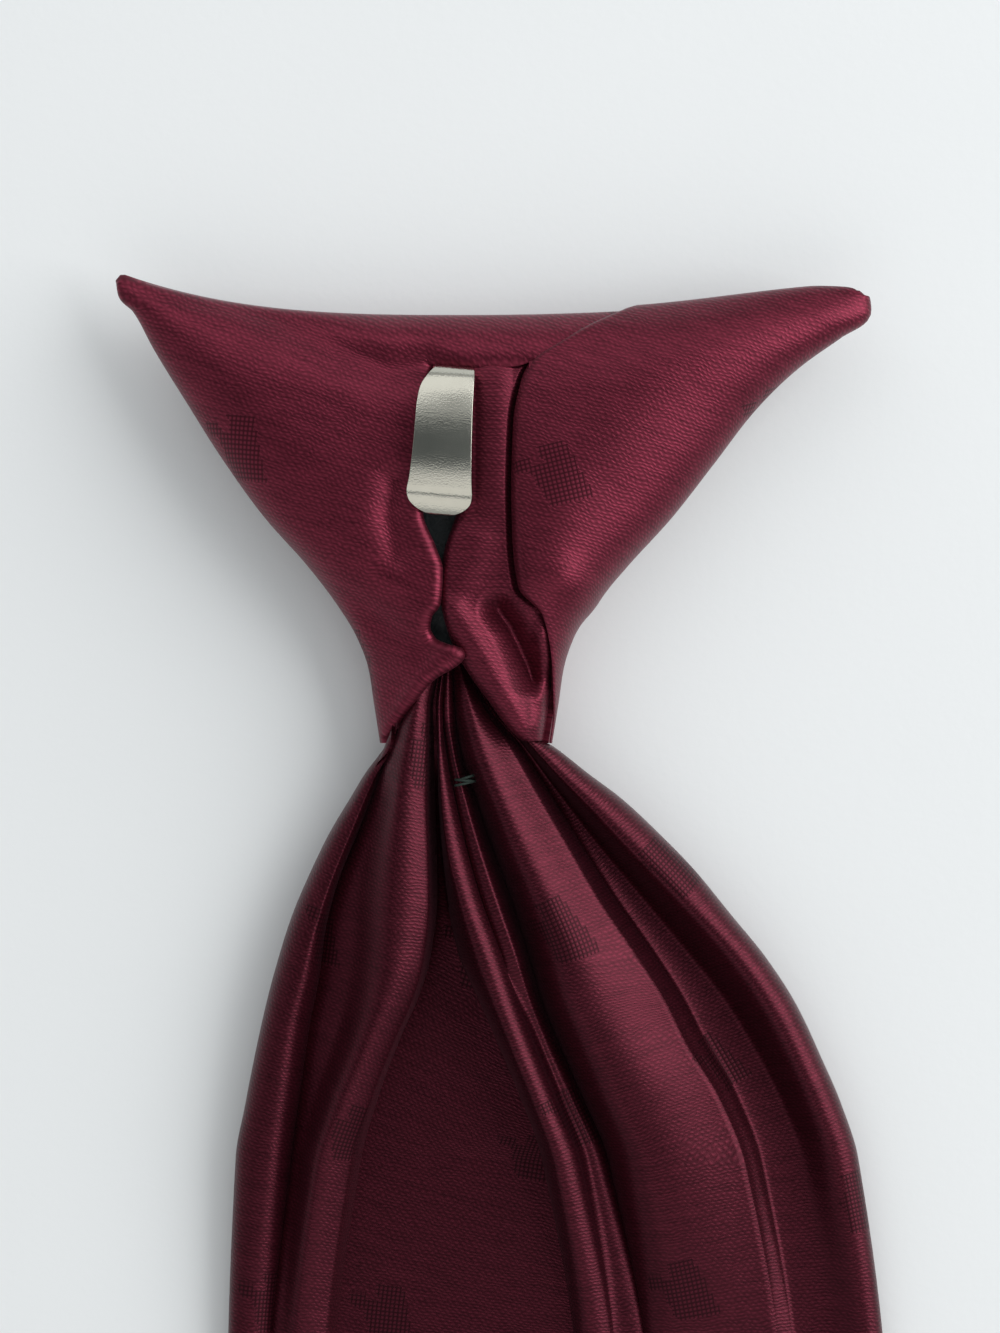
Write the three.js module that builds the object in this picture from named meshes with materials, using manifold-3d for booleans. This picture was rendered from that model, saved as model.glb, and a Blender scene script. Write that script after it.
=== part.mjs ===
// A clip-on necktie lying on its face, seen from the back: a pre-formed knot with two collar wings,
// a sprung steel clip, and one blade that is gathered into the knot.
// Millimetres. X runs to the right, Y from the blade's point up to the knot, Z up out of the back.
// The sizes below are measured from the surface that the tie lies on, under the middle of the knot's
// throat. The finished tie is moved so that the origin is the middle of its bounding box's underside.
import * as THREE from "three";
import { mergeVertices } from "three/addons/utils/BufferGeometryUtils.js";
import Module from "manifold-3d";

const wasm = await Module();
wasm.setup();

// Driving sizes
const CLOTH = 1.2; // satin with its fused backing
const CLEARANCE = 0.3; // air between one piece and the next

const KNOT_HEIGHT = 50; // throat to the middle of the top edge
const KNOT_DEPTH = 15; // face to back
const THROAT_WIDTH = 19.8; // lower end of the knot
const FACE_WIDTH = 46; // top of the knot as the wearer's front shows it
const LEFT_REACH = 41.5; // middle of the knot to the left wing's tip
const RIGHT_REACH = 46.5; // middle of the knot to the right wing's tip, under its flap
const WING_DEPTH = 2.8; // half the thickness of a wing under its edge
const SIDE_ROUND = 5; // how far the face curves up at its sides
const FOLD = 0.35; // half the thickness of a pressed fold

const BLADE_LENGTH = 446; // throat to point
const BLADE_WIDTH = 84; // widest, where the point begins
const POINT_LENGTH = 42; // square point
const GATHER_LENGTH = 51; // throat to where the pleats start to fall flat
const PLEATS_LENGTH = 153; // throat to where the pleats have fallen flat
const PLEAT_HEIGHT = 12; // crest of the highest pleat
const TUCK_LENGTH = 9.6; // blade inside the knot
const SEAM_LAP = 3; // one back flap over the other
const DIMPLE_DEPTH = 2; // hollow in the blade's face below the knot

const CLIP_STEEL = 0.7; // strip thickness
const CLIP_WIDTH = 8; // tongue at its lip
const CLIP_NECK = 5.4; // tongue where it leaves the knot
const CLIP_LENGTH = 17.6; // tongue from neck to lip
const CLIP_BOW = 3.2; // tongue over the cloth at its highest
const CLIP_LEG = 15; // strip inside the knot
const CLIP_LEAN = 4.9; // degrees from upright
const CLIP_TOP = 0.888 * KNOT_HEIGHT; // slit above the throat
const CLIP_SIDE = -1.8; // slit from the knot's middle

// Knot sections from the throat up. Heights are shares of KNOT_HEIGHT: up at the middle, left_up and
// right_up at the ends. left and right are shares of the way from the throat's side to the wing's tip.
// edge and back are shares of KNOT_DEPTH.
const KNOT_SECTIONS = [
  { up: 0.0, left: 0.0, left_up: 0.0, right: 0.0, right_up: 0.0, edge: 0.42, back: 0.84 },
  { up: 0.09, left: 0.03, left_up: 0.09, right: 0.025, right_up: 0.085, edge: 0.43, back: 0.88 },
  { up: 0.18, left: 0.058, left_up: 0.18, right: 0.05, right_up: 0.18, edge: 0.45, back: 0.93 },
  { up: 0.26, left: 0.108, left_up: 0.26, right: 0.087, right_up: 0.26, edge: 0.47, back: 0.97 },
  { up: 0.34, left: 0.196, left_up: 0.345, right: 0.15, right_up: 0.34, edge: 0.49, back: 1.0 },
  { up: 0.42, left: 0.3, left_up: 0.43, right: 0.257, right_up: 0.43, edge: 0.5, back: 1.0 },
  { up: 0.54, left: 0.462, left_up: 0.55, right: 0.402, right_up: 0.55, edge: 0.52, back: 1.0 },
  { up: 0.66, left: 0.62, left_up: 0.69, right: 0.54, right_up: 0.685, edge: 0.53, back: 1.0 },
  { up: 0.77, left: 0.747, left_up: 0.82, right: 0.66, right_up: 0.805, edge: 0.54, back: 0.99 },
  { up: 0.87, left: 0.864, left_up: 0.94, right: 0.793, right_up: 0.91, edge: 0.55, back: 0.97 },
  { up: 0.95, left: 0.95, left_up: 1.035, right: 0.931, right_up: 0.99, edge: 0.56, back: 0.93 },
  { up: 0.98, left: 0.995, left_up: 1.065, right: 1.0, right_up: 1.03, edge: 0.56, back: 0.91 },
  { up: 1.0, left: 0.985, left_up: 1.095, right: 0.95, right_up: 1.055, edge: 0.56, back: 0.9 },
];

// Dents and swells of the knot's back. side is a share of the wing's reach (left is negative), up,
// long and wide are shares of KNOT_HEIGHT, raise a share of CLOTH, turn the long way's angle.
const KNOT_DENTS = [
  { name: "valley under the top strip", side: -0.34, up: 0.93, long: 0.216, wide: 0.0456, raise: -0.7, turn: -18 },
  { name: "pinch beside the clip's lip", side: -0.2, up: 0.52, long: 0.0624, wide: 0.0456, raise: -0.5, turn: 70 },
  { name: "hollow above the left hem", side: -0.2, up: 0.15, long: 0.12, wide: 0.072, raise: -0.7, turn: 55 },
  { name: "recess beside the right flap", side: 0.2, up: 0.94, long: 0.144, wide: 0.048, raise: -1.0, turn: 5 },
];
const CENTRE_DENTS = [
  { name: "dark hollow under the flap's corner", side: 0.135, up: 0.25, long: 0.0864, wide: 0.036, raise: -1.1, turn: -62 },
  { name: "rope of the twisted hem", side: 0.05, up: 0.17, long: 0.144, wide: 0.0432, raise: 0.5, turn: -48 },
];

// Free edge of the left flap, from the clip's slit down to the throat: side is a share of half the
// throat, up a share of KNOT_HEIGHT.
const LEFT_EDGE = [
  { side: -0.52, up: 0.914 },
  { side: -0.55, up: 0.8 },
  { side: -0.6, up: 0.62 },
  { side: -0.6, up: 0.54 },
  { side: -0.45, up: 0.455 },
  { side: -0.37, up: 0.405 },
  { side: -0.36, up: 0.325 },
  { side: -0.47, up: 0.29 },
  { side: -0.485, up: 0.25 },
  { side: -0.4, up: 0.222 },
  { side: -0.16, up: 0.213 },
  { side: -0.465, up: 0.158 },
  { side: -0.78, up: 0.076 },
  { side: -1.0, up: 0.01 },
];

// Rows of the centre flap from its top down: each runs from its free edge to its covered edge.
const CENTRE_ROWS = [
  { side: 0.15, up: 0.9, far_side: 0.9, far_up: 0.9 },
  { side: 0.15, up: 0.8, far_side: 0.9, far_up: 0.8 },
  { side: 0.13, up: 0.68, far_side: 0.89, far_up: 0.68 },
  { side: 0.02, up: 0.6, far_side: 0.88, far_up: 0.58 },
  { side: -0.15, up: 0.53, far_side: 0.87, far_up: 0.5 },
  { side: -0.28, up: 0.44, far_side: 0.86, far_up: 0.42 },
  { side: -0.33, up: 0.36, far_side: 0.84, far_up: 0.36 },
  { side: -0.27, up: 0.29, far_side: 0.82, far_up: 0.3 },
  { side: -0.15, up: 0.222, far_side: 0.76, far_up: 0.24 },
  { side: 0.04, up: 0.16, far_side: 0.72, far_up: 0.18 },
  { side: 0.24, up: 0.1, far_side: 0.69, far_up: 0.12 },
  { side: 0.43, up: 0.045, far_side: 0.67, far_up: 0.06 },
  { side: 0.54, up: 0.015, far_side: 0.66, far_up: 0.02 },
];

// Inner edge of the right wing's flap: side is a share of RIGHT_REACH at that height.
const FLAP_EDGE = [
  { up: 0.0, side: 0.174 },
  { up: 0.1, side: 0.19 },
  { up: 0.22, side: 0.197 },
  { up: 0.29, side: 0.186 },
  { up: 0.34, side: 0.142 },
  { up: 0.44, side: 0.12 },
  { up: 0.6, side: 0.112 },
  { up: 0.74, side: 0.113 },
  { up: 0.82, side: 0.125 },
  { up: 0.89, side: 0.163 },
  { up: 0.95, side: 0.28 },
  { up: 1.0, side: 0.405 },
];

// Blade outline below the throat. down is a share of GATHER_LENGTH, left and right of BLADE_WIDTH.
const OUTLINE = [
  { down: 0.0, left: 0.13, right: 0.14 },
  { down: 0.15, left: 0.165, right: 0.214 },
  { down: 0.38, left: 0.232, right: 0.362 },
  { down: 0.61, left: 0.282, right: 0.469 },
  { down: 0.85, left: 0.313, right: 0.536 },
  { down: 1.0, left: 0.325, right: 0.564 },
  { down: 1.6, left: 0.333, right: 0.603 },
  { down: 2.4, left: 0.335, right: 0.617 },
];
const POINT_START = { left: 0.357, right: 0.643 };

// Pleats of the blade's back at the stations below, from left to right. at is the place across, -1 at
// the left outline and 1 at the right; high is a share of PLEAT_HEIGHT.
const STATIONS = [0, 0.15, 0.38, 0.61, 0.85, 1, 2];
const LEFT_PLEATS = [
  {
    name: "outer roll",
    at: [-0.8, -0.9, -0.91, -0.91, -0.91, -0.9, -0.93],
    high: [0.6, 0.58, 0.62, 0.62, 0.62, 0.6, 0.42],
  },
  {
    name: "outer groove",
    at: [-0.74, -0.81, -0.8, -0.81, -0.81, -0.79, -0.78],
    high: [0.58, 0.46, 0.4, 0.37, 0.33, 0.32, 0.28],
  },
  {
    name: "broad pleat",
    at: [-0.68, -0.66, -0.61, -0.56, -0.66, -0.72, -0.72],
    high: [0.85, 0.97, 1.0, 1.0, 0.94, 0.88, 0.5],
  },
  {
    name: "deep groove",
    at: [-0.45, -0.38, -0.36, -0.41, -0.54, -0.62, -0.6],
    high: [0.55, 0.4, 0.3, 0.27, 0.27, 0.27, 0.25],
  },
];
const RIGHT_PLEATS = [
  {
    name: "seam fold",
    at: [-0.39, -0.32, -0.27, -0.14, -0.02, 0.03, 0.03],
    high: [0.82, 0.8, 0.8, 0.82, 0.82, 0.77, 0.42],
  },
  {
    name: "crack beside the seam fold",
    at: [-0.31, -0.24, -0.16, -0.06, 0.01, 0.05, 0.06],
    high: [0.72, 0.65, 0.63, 0.7, 0.68, 0.6, 0.4],
  },
  {
    name: "thin pleat",
    at: [-0.23, -0.16, -0.08, -0.02, 0.025, 0.065, 0.09],
    high: [0.85, 0.87, 0.85, 0.73, 0.6, 0.52, 0.38],
  },
  {
    name: "groove beside the thin pleat",
    at: [-0.12, -0.07, -0.02, 0.01, 0.05, 0.1, 0.16],
    high: [0.57, 0.47, 0.42, 0.39, 0.39, 0.38, 0.3],
  },
  {
    name: "full pleat",
    at: [0.06, 0.07, 0.08, 0.13, 0.2, 0.25, 0.3],
    high: [0.86, 0.97, 0.97, 0.93, 0.9, 0.86, 0.48],
  },
  {
    name: "creased valley",
    at: [0.47, 0.43, 0.42, 0.48, 0.54, 0.58, 0.6],
    high: [0.7, 0.43, 0.33, 0.32, 0.32, 0.32, 0.27],
  },
  {
    name: "right roll",
    at: [0.8, 0.79, 0.8, 0.79, 0.82, 0.84, 0.9],
    high: [0.6, 0.7, 0.75, 0.75, 0.73, 0.7, 0.42],
  },
];

const HALF_THROAT = THROAT_WIDTH / 2;
const SEAT = CLOTH + CLEARANCE; // one cloth lying on another, surface to surface

const mix = (a, b, t) => a + (b - a) * t;
const clamp = (t) => Math.min(1, Math.max(0, t));
const smooth = (t) => clamp(t) * clamp(t) * (3 - 2 * clamp(t));

// Value at a place along stated knots, as a smooth curve that doesn't overshoot much.
function curveAt(places, values, place) {
  const last = places.length - 1;
  if (place <= places[0]) return values[0];
  if (place >= places[last]) return values[last];
  let i = 0;
  while (places[i + 1] < place) i++;
  const slope = (k) => {
    if (k <= 0 || k >= last) return 0.5 * slopeOf(Math.min(k, last - 1));
    const before = slopeOf(k - 1);
    const after = slopeOf(k);
    return before * after <= 0 ? 0 : (2 * before * after) / (before + after);
  };
  const slopeOf = (k) => (values[k + 1] - values[k]) / (places[k + 1] - places[k]);
  const span = places[i + 1] - places[i];
  const t = (place - places[i]) / span;
  return (
    values[i] * (1 + 2 * t) * (1 - t) ** 2 +
    values[i + 1] * t * t * (3 - 2 * t) +
    span * (slope(i) * t * (1 - t) ** 2 - slope(i + 1) * t * t * (1 - t))
  );
}
const column = (rows, key, column_name, place) =>
  curveAt(
    rows.map((row) => row[key]),
    rows.map((row) => row[column_name]),
    place,
  );

// Closed body between two grids of points. Both grids run the same way, and a step across, crossed
// with a step along, points out of the over side.
function bodyBetween(over, under) {
  const rows = over.length;
  const columns = over[0].length;
  const positions = [...over.flat(), ...under.flat()].flatMap((p) => [p.x, p.y, p.z]);
  const index = [];
  const top = (r, c) => r * columns + c;
  const base = (r, c) => rows * columns + top(r, c);
  const quad = (a, b, c, d) => index.push(a, b, c, a, c, d);
  for (let r = 0; r < rows - 1; r++)
    for (let c = 0; c < columns - 1; c++) {
      quad(top(r, c), top(r, c + 1), top(r + 1, c + 1), top(r + 1, c));
      quad(base(r, c), base(r + 1, c), base(r + 1, c + 1), base(r, c + 1));
    }
  for (let r = 0; r < rows - 1; r++) {
    quad(top(r, 0), top(r + 1, 0), base(r + 1, 0), base(r, 0));
    quad(top(r + 1, columns - 1), top(r, columns - 1), base(r, columns - 1), base(r + 1, columns - 1));
  }
  for (let c = 0; c < columns - 1; c++) {
    quad(top(0, c + 1), top(0, c), base(0, c), base(0, c + 1));
    quad(top(rows - 1, c), top(rows - 1, c + 1), base(rows - 1, c + 1), base(rows - 1, c));
  }
  return new THREE.BufferGeometry()
    .setAttribute("position", new THREE.Float32BufferAttribute(positions, 3))
    .setIndex(index);
}

function solidOf(geometry) {
  const bare = geometry.clone();
  bare.deleteAttribute("normal");
  bare.deleteAttribute("uv");
  const merged = mergeVertices(bare, 1e-4);
  return new wasm.Manifold(
    new wasm.Mesh({
      numProp: 3,
      vertProperties: merged.attributes.position.array,
      triVerts: new Uint32Array(merged.index.array),
    }),
  );
}

function geometryOf(solid) {
  const made = solid.getMesh();
  return new THREE.BufferGeometry()
    .setAttribute("position", new THREE.BufferAttribute(made.vertProperties, 3))
    .setIndex(new THREE.BufferAttribute(made.triVerts, 1));
}

// Straight-sided block over an outline, from one height to another.
function blockOver(outline, low, high) {
  const shape = new THREE.Shape(outline.map(([x, y]) => new THREE.Vector2(x, y)));
  const block = new THREE.ExtrudeGeometry(shape, { depth: high - low, bevelEnabled: false });
  return solidOf(block.translate(0, 0, low));
}

// The knot. place is 0 at the throat and 1 at the top edge; across is -1 and 1 at the outline.
const knotSize = (name, place) => column(KNOT_SECTIONS, "up", name, place);
const RIGHT_THROAT = HALF_THROAT - SEAT - CLEARANCE; // the right side has the flap on it
const reachAt = (place, sign) =>
  sign < 0
    ? mix(HALF_THROAT, LEFT_REACH, knotSize("left", place))
    : mix(RIGHT_THROAT, RIGHT_REACH, knotSize("right", place));

function dent(rows, x, y) {
  return rows.reduce((sum, row) => {
    const reach = row.side < 0 ? LEFT_REACH : RIGHT_REACH;
    const turn = (row.turn * Math.PI) / 180;
    const dx = x - row.side * reach;
    const dy = y - row.up * KNOT_HEIGHT;
    const along = (dx * Math.cos(turn) + dy * Math.sin(turn)) / (row.long * KNOT_HEIGHT);
    const aside = (dy * Math.cos(turn) - dx * Math.sin(turn)) / (row.wide * KNOT_HEIGHT);
    return sum + row.raise * CLOTH * Math.exp(-along * along - aside * aside);
  }, 0);
}

const roundOff = (across, power) => Math.sqrt(Math.max(0, 1 - Math.abs(across) ** power));

// A point of the knot's back or face, with how far in from the outline's surface the cloth's wall is.
function knotPoint(place, across, onBack, inset = 0) {
  const sign = across < 0 ? -1 : 1;
  const x = across * (reachAt(place, sign) - inset);
  const end_up = knotSize(sign < 0 ? "left_up" : "right_up", place);
  const up = mix(place, end_up, Math.abs(across) ** (sign < 0 ? 3 : 2));
  const y = up * KNOT_HEIGHT - inset * clamp((place - 0.94) / 0.06) * (1 - across * across);
  const edge = knotSize("edge", place) * KNOT_DEPTH;
  const back_close = roundOff(clamp((place - 0.8) / 0.2), 2.5);
  const face_close = roundOff(clamp((place - 0.6) / 0.4), 2.5);
  const rim = roundOff(across, 5);
  const crown = (knotSize("back", place) * KNOT_DEPTH - edge) * back_close * rim;
  const face_half = mix(HALF_THROAT, FACE_WIDTH / 2, place ** 0.8);
  const aside = smooth((Math.abs(x) - (face_half - SIDE_ROUND)) / SIDE_ROUND);
  const lifted = aside * Math.max(0, edge - WING_DEPTH);
  const face = mix(edge, mix(edge, lifted, rim), face_close);
  const back = edge + crown + (crown > 0 ? dent(KNOT_DENTS, x, y) * rim * back_close : 0);
  const middle = (back + face) / 2;
  const thick = (back - face) / 2;
  const half = inset > 0 ? Math.max(FOLD * 0.4, thick - inset) : Math.max(FOLD, thick) - inset;
  return new THREE.Vector3(x, y, onBack ? middle + half : middle - half);
}

// Height of the knot's back, or of its face, over a place near its middle.
function heightOver(x, y, onBack, inset = 0) {
  const place = clamp(y / KNOT_HEIGHT);
  return knotPoint(place, x / (reachAt(place, x < 0 ? -1 : 1) - inset), onBack, inset).z;
}
const backOver = (x, y) => heightOver(x, y, true);

const KNOT_COLUMNS = 18;
const KNOT_PLACES = [0, 0.05, 0.1, 0.16, 0.22, 0.28, 0.34, 0.4, 0.47, 0.54, 0.62, 0.7, 0.77, 0.83, 0.88, 0.92, 0.96, 0.985, 1];
const acrossAt = (c) => -Math.cos((Math.PI * c) / KNOT_COLUMNS);
const steps = (count) => Array.from({ length: count + 1 }, (_, i) => i);

function knotBody(places, columns, inset, below = 0) {
  const grid = (onBack) =>
    places.map((place, r) =>
      columns.map((across) => {
        const p = knotPoint(place, across, onBack, inset);
        if (r === 0) p.y -= below;
        return p;
      }),
    );
  return bodyBetween(grid(true), grid(false));
}

// Satin wrapped round the knot: the face, both sides and the left wing with its flap. It is open at
// the throat and along the slit in its back.
function knotWrap() {
  const columns = steps(KNOT_COLUMNS).map(acrossAt);
  const outer = solidOf(knotBody(KNOT_PLACES, columns, 0));
  const inner = solidOf(knotBody([0, ...KNOT_PLACES.slice(1)], columns, CLOTH, CLOTH));
  const open_right = CENTRE_ROWS.map((row) => [
    row.far_side * HALF_THROAT + CLEARANCE,
    row.far_up * KNOT_HEIGHT,
  ]);
  const outline = [
    ...LEFT_EDGE.map((row) => [row.side * HALF_THROAT, row.up * KNOT_HEIGHT]),
    [-HALF_THROAT, -2 * CLOTH],
    [open_right.at(-1)[0], -2 * CLOTH],
    ...open_right.reverse(),
    [open_right.at(-1)[0], LEFT_EDGE[0].up * KNOT_HEIGHT],
  ];
  const slit = blockOver(outline, KNOT_DEPTH / 2, 2 * KNOT_DEPTH);
  return geometryOf(outer.subtract(inner).subtract(slit));
}

// Moulded plastic core that fills the knot and carries the clip in a pocket in its back.
function knotFormer() {
  const low = (TUCK_LENGTH + SEAT) / KNOT_HEIGHT;
  const places = [low, ...KNOT_PLACES.filter((place) => place > low + 0.02 && place < 0.93)];
  const columns = steps(KNOT_COLUMNS / 2).map((c) => acrossAt(2 * c)).filter((across) => Math.abs(across) < 0.9);
  const core = solidOf(knotBody(places, columns, 2 * SEAT));
  return geometryOf(core.subtract(solidOf(clipStrip(1.3 * CLEARANCE))));
}

// Part of the right side's cloth that passes under the flap and twists down to the throat.
function centreFlap() {
  const across = steps(9).map((c) => c / 9);
  const rows = [...CENTRE_ROWS].reverse();
  const grid = (drop) =>
    rows.map((row) =>
      across.map((t) => {
        const x = mix(row.side, row.far_side, t) * HALF_THROAT;
        const y = mix(row.up, row.far_up, t) * KNOT_HEIGHT;
        const rolled = CLOTH * 0.5 * ((1 - t) ** 6 + t ** 8);
        return new THREE.Vector3(x, y, backOver(x, y) + dent(CENTRE_DENTS, x, y) - rolled - drop);
      }),
    );
  return bodyBetween(grid(CLEARANCE / 2), grid(CLEARANCE / 2 + CLOTH));
}

// Right wing's flap: it lies on the wrap, curls round the wing's edges and ends beside the slit.
function wingFlap() {
  const turns = 8;
  const grid = (lift) => {
    const rows = KNOT_PLACES.map((place) => flapRow(place, lift, turns));
    const top = rows.at(-1);
    const curl = (out, down) => top.map((p) => new THREE.Vector3(p.x, p.y + out, p.z - down));
    const out = lift * 0.8;
    return [...rows, curl(out, FOLD * 2), curl(out, FOLD * 4 + CLOTH)];
  };
  const columns = steps(KNOT_COLUMNS).map(acrossAt);
  const room = solidOf(knotBody(KNOT_PLACES, columns, -CLEARANCE));
  const flap = solidOf(bodyBetween(grid(SEAT + CLEARANCE / 2), grid(CLEARANCE * 1.5)));
  return geometryOf(flap.subtract(room).subtract(room.translate([0, CLEARANCE, 0])));
}
function flapRow(place, lift, turns) {
  const start = column(FLAP_EDGE, "up", "side", place) * RIGHT_REACH;
  const reach = reachAt(place, 1);
  const first = Math.acos(clamp(start / reach));
  const under = -0.32;
  return steps(turns).map((c) => {
    const angle = mix(first, under, c / turns);
    const at = (a) => knotPoint(place, Math.cos(a), a >= 0);
    const p = at(angle);
    const ahead = at(angle - 0.06).sub(at(angle + 0.06));
    const out = new THREE.Vector3(-ahead.z, 0, ahead.x).normalize();
    return p.addScaledVector(out, lift);
  });
}

// The clip: one strip bent into a leg inside the knot, a bend through the slit and a bowed tongue with
// a turned-up lip. room makes the pocket that the leg lies in.
function clipStrip(room = 0) {
  const lean = (CLIP_LEAN * Math.PI) / 180;
  const cloth = backOver(CLIP_SIDE, CLIP_TOP - CLIP_LENGTH / 2);
  const leg = cloth - 2 * SEAT - CLIP_STEEL / 2;
  const bow = cloth + CLIP_BOW - CLIP_STEEL / 2;
  const path = new THREE.CatmullRomCurve3(
    [
      [-CLIP_LEG - room, leg],
      [-CLIP_LEG * 0.66, leg],
      [-CLIP_LEG * 0.33, leg],
      [-CLIP_STEEL * 2.3, leg],
      [-CLEARANCE, leg + CLIP_STEEL / 2],
      [CLEARANCE / 2, mix(leg, bow, 0.45)],
      [-CLIP_STEEL * 1.3, mix(leg, bow, 0.8)],
      [-CLIP_LENGTH * 0.2, mix(leg, bow, 0.95)],
      [-CLIP_LENGTH * 0.45, bow],
      [-CLIP_LENGTH * 0.7, mix(cloth, bow, 0.72)],
      [-CLIP_LENGTH * 0.9, cloth + CLIP_STEEL / 2 + CLEARANCE],
      [-CLIP_LENGTH, cloth + CLIP_STEEL / 2 + CLEARANCE * 4],
    ].map(([y, z]) => new THREE.Vector3(0, y, z)),
    false,
    "centripetal",
  );
  const stations = steps(room > 0 ? 14 : 28).map((i) => i / (room > 0 ? 14 : 28));
  const columns = steps(room > 0 ? 2 : 4).map((c) => (c / (room > 0 ? 2 : 4)) * 2 - 1);
  const grid = (lift) =>
    stations.map((t) => {
      const p = path.getPoint(t);
      const ahead = path.getTangent(t);
      const out = new THREE.Vector3(0, ahead.z, -ahead.y).normalize();
      const lip = room > 0 ? 0 : clamp((-p.y - CLIP_LENGTH * 0.9) / (CLIP_LENGTH * 0.1)) * (t > 0.5 ? 1 : 0);
      const spread = smooth(-p.y / (CLIP_LENGTH * 0.85));
      const half = (mix(CLIP_NECK, CLIP_WIDTH, spread) / 2) * (1 - 0.18 * lip * lip) + room;
      return columns.map((c) => {
        const back = room > 0 ? 0 : lip * 1.6 * CLIP_STEEL * c * c;
        const y = p.y + out.y * lift + back;
        const x = c * half;
        return new THREE.Vector3(
          CLIP_SIDE + x * Math.cos(lean) + y * Math.sin(lean),
          CLIP_TOP + y * Math.cos(lean) - x * Math.sin(lean),
          p.z + out.z * lift,
        );
      });
    });
  const thick = CLIP_STEEL / 2 + room;
  return bodyBetween(grid(-thick), grid(thick));
}

// The blade is one cloth folded round to its own back. down is in gather lengths below the throat.
const outlineAt = (side, down) => column(OUTLINE, "down", side, down) * BLADE_WIDTH;
const HIDDEN = { left: HALF_THROAT - SEAT - 3 * CLEARANCE, right: RIGHT_THROAT - SEAT - 3 * CLEARANCE };
const TUCK_END = 0.55; // width of the blade's hidden end, as a share of its width at the throat
function outline(side, y) {
  const down = -y / GATHER_LENGTH;
  const plain_end = OUTLINE.at(-1).down;
  const sign = side === "left" ? -1 : 1;
  if (y >= -CLEARANCE) return sign * HIDDEN[side] * mix(1, TUCK_END, clamp(y / TUCK_LENGTH));
  if (down <= plain_end) {
    const flare = clamp(down / OUTLINE[1].down) ** 0.3;
    return sign * mix(HIDDEN[side], outlineAt(side, down), flare);
  }
  const start = -plain_end * GATHER_LENGTH;
  const shoulder = -(BLADE_LENGTH - POINT_LENGTH);
  const widest = POINT_START[side] * BLADE_WIDTH;
  if (y >= shoulder) return sign * mix(outlineAt(side, plain_end), widest, (start - y) / (start - shoulder));
  const tip = ((POINT_START.right - POINT_START.left) / 2) * BLADE_WIDTH;
  return mix(sign * widest, tip + sign * 2 * CLOTH, (shoulder - y) / POINT_LENGTH);
}

// Samples between neighbouring pleats, so that a crest or a groove is always an edge of the mesh.
const PLEAT_STEPS = 3;
const ROLL_STEPS = 4;
const FACE_STEPS = 6;

function bladeSection(y) {
  const down = -y / GATHER_LENGTH;
  const left = outline("left", y) + CLOTH / 2;
  const right = outline("right", y) - CLOTH / 2;
  const centre = (left + right) / 2;
  const half = (right - left) / 2;
  const pressed = smooth((down - 1) / (PLEATS_LENGTH / GATHER_LENGTH - 1));
  const tucked = smooth(1 - down / 0.2);
  const faceAt = (x) => {
    const hollow = DIMPLE_DEPTH * Math.exp(-(((x - centre) / (0.3 * half)) ** 2));
    const plain = CLOTH / 2 + hollow * smooth(1.6 - down) * (1 - tucked);
    const inside = heightOver(Math.max(-HIDDEN.left, Math.min(HIDDEN.right, x)), Math.max(0, y), false, SEAT);
    return mix(plain, inside + CLOTH / 2 + 1.5 * CLEARANCE, tucked);
  };
  const roofAt = (x) => backOver(x, Math.max(0, y)) - SEAT - CLOTH / 2;
  const limit = (x, z) => (down < 0.02 ? Math.min(z, roofAt(x)) : z);
  const knot = (pleat, flat) => {
    const x = centre + (half - 0.8 * CLOTH) * curveAt(STATIONS, pleat.at, down);
    const high = curveAt(STATIONS, pleat.high, down) * PLEAT_HEIGHT;
    return { x, z: limit(x, Math.max(mix(high, flat, pressed), faceAt(x) + SEAT)) };
  };
  const flat = CLOTH / 2 + SEAT;
  const right_knots = RIGHT_PLEATS.map((pleat, i) => knot(pleat, i < 3 ? flat + SEAT : flat));
  const left_knots = LEFT_PLEATS.map((pleat) => knot(pleat, flat));
  const under = (x) => betweenKnots(right_knots, x) - SEAT;
  const seam = right_knots[0];
  const lap_x = Math.min(seam.x + SEAM_LAP, right_knots[2].x);
  left_knots.push(
    { x: seam.x, z: Math.max(faceAt(seam.x) + SEAT, seam.z - SEAT) },
    { x: lap_x, z: Math.max(faceAt(lap_x) + SEAT, under(lap_x)) },
  );
  const leftAt = (x) => {
    const own = betweenKnots(left_knots, x);
    return x > seam.x ? Math.min(own, Math.max(under(x), faceAt(x) + SEAT)) : own;
  };
  const line = [];
  const add = (x, z, out_x, out_z) => line.push({ x, z, out_x, out_z });
  const backRun = (knots, heightAt) => {
    for (let k = 0; k < knots.length - 1; k++)
      for (let i = 0; i < PLEAT_STEPS; i++) {
        const x = mix(knots[k].x, knots[k + 1].x, i / PLEAT_STEPS);
        add(x, heightAt(x), 0, 1);
      }
  };
  const rollRun = (from, edge_x, z_low, sign) => {
    const middle = (from.z + z_low) / 2;
    const tall = (from.z - z_low) / 2;
    for (let i = 0; i < ROLL_STEPS; i++) {
      const turn = (Math.PI * i) / ROLL_STEPS;
      const x = from.x + (edge_x - from.x) * Math.sin(turn);
      add(x, middle + tall * Math.cos(turn) * sign, Math.sin(turn) * Math.sign(edge_x - from.x), Math.cos(turn) * sign);
    }
  };
  const start = left_knots[0];
  const end = right_knots.at(-1);
  backRun([...left_knots].reverse(), leftAt);
  rollRun(start, left, faceAt(start.x), 1);
  for (let i = 0; i < FACE_STEPS; i++) {
    const x = mix(start.x, end.x, i / FACE_STEPS);
    add(x, faceAt(x), 0, -1);
  }
  rollRun({ x: end.x, z: end.z }, right, faceAt(end.x), -1);
  backRun([...right_knots].reverse(), (x) => betweenKnots(right_knots, x));
  add(seam.x, seam.z, 0, 1);
  return line;
}

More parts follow.
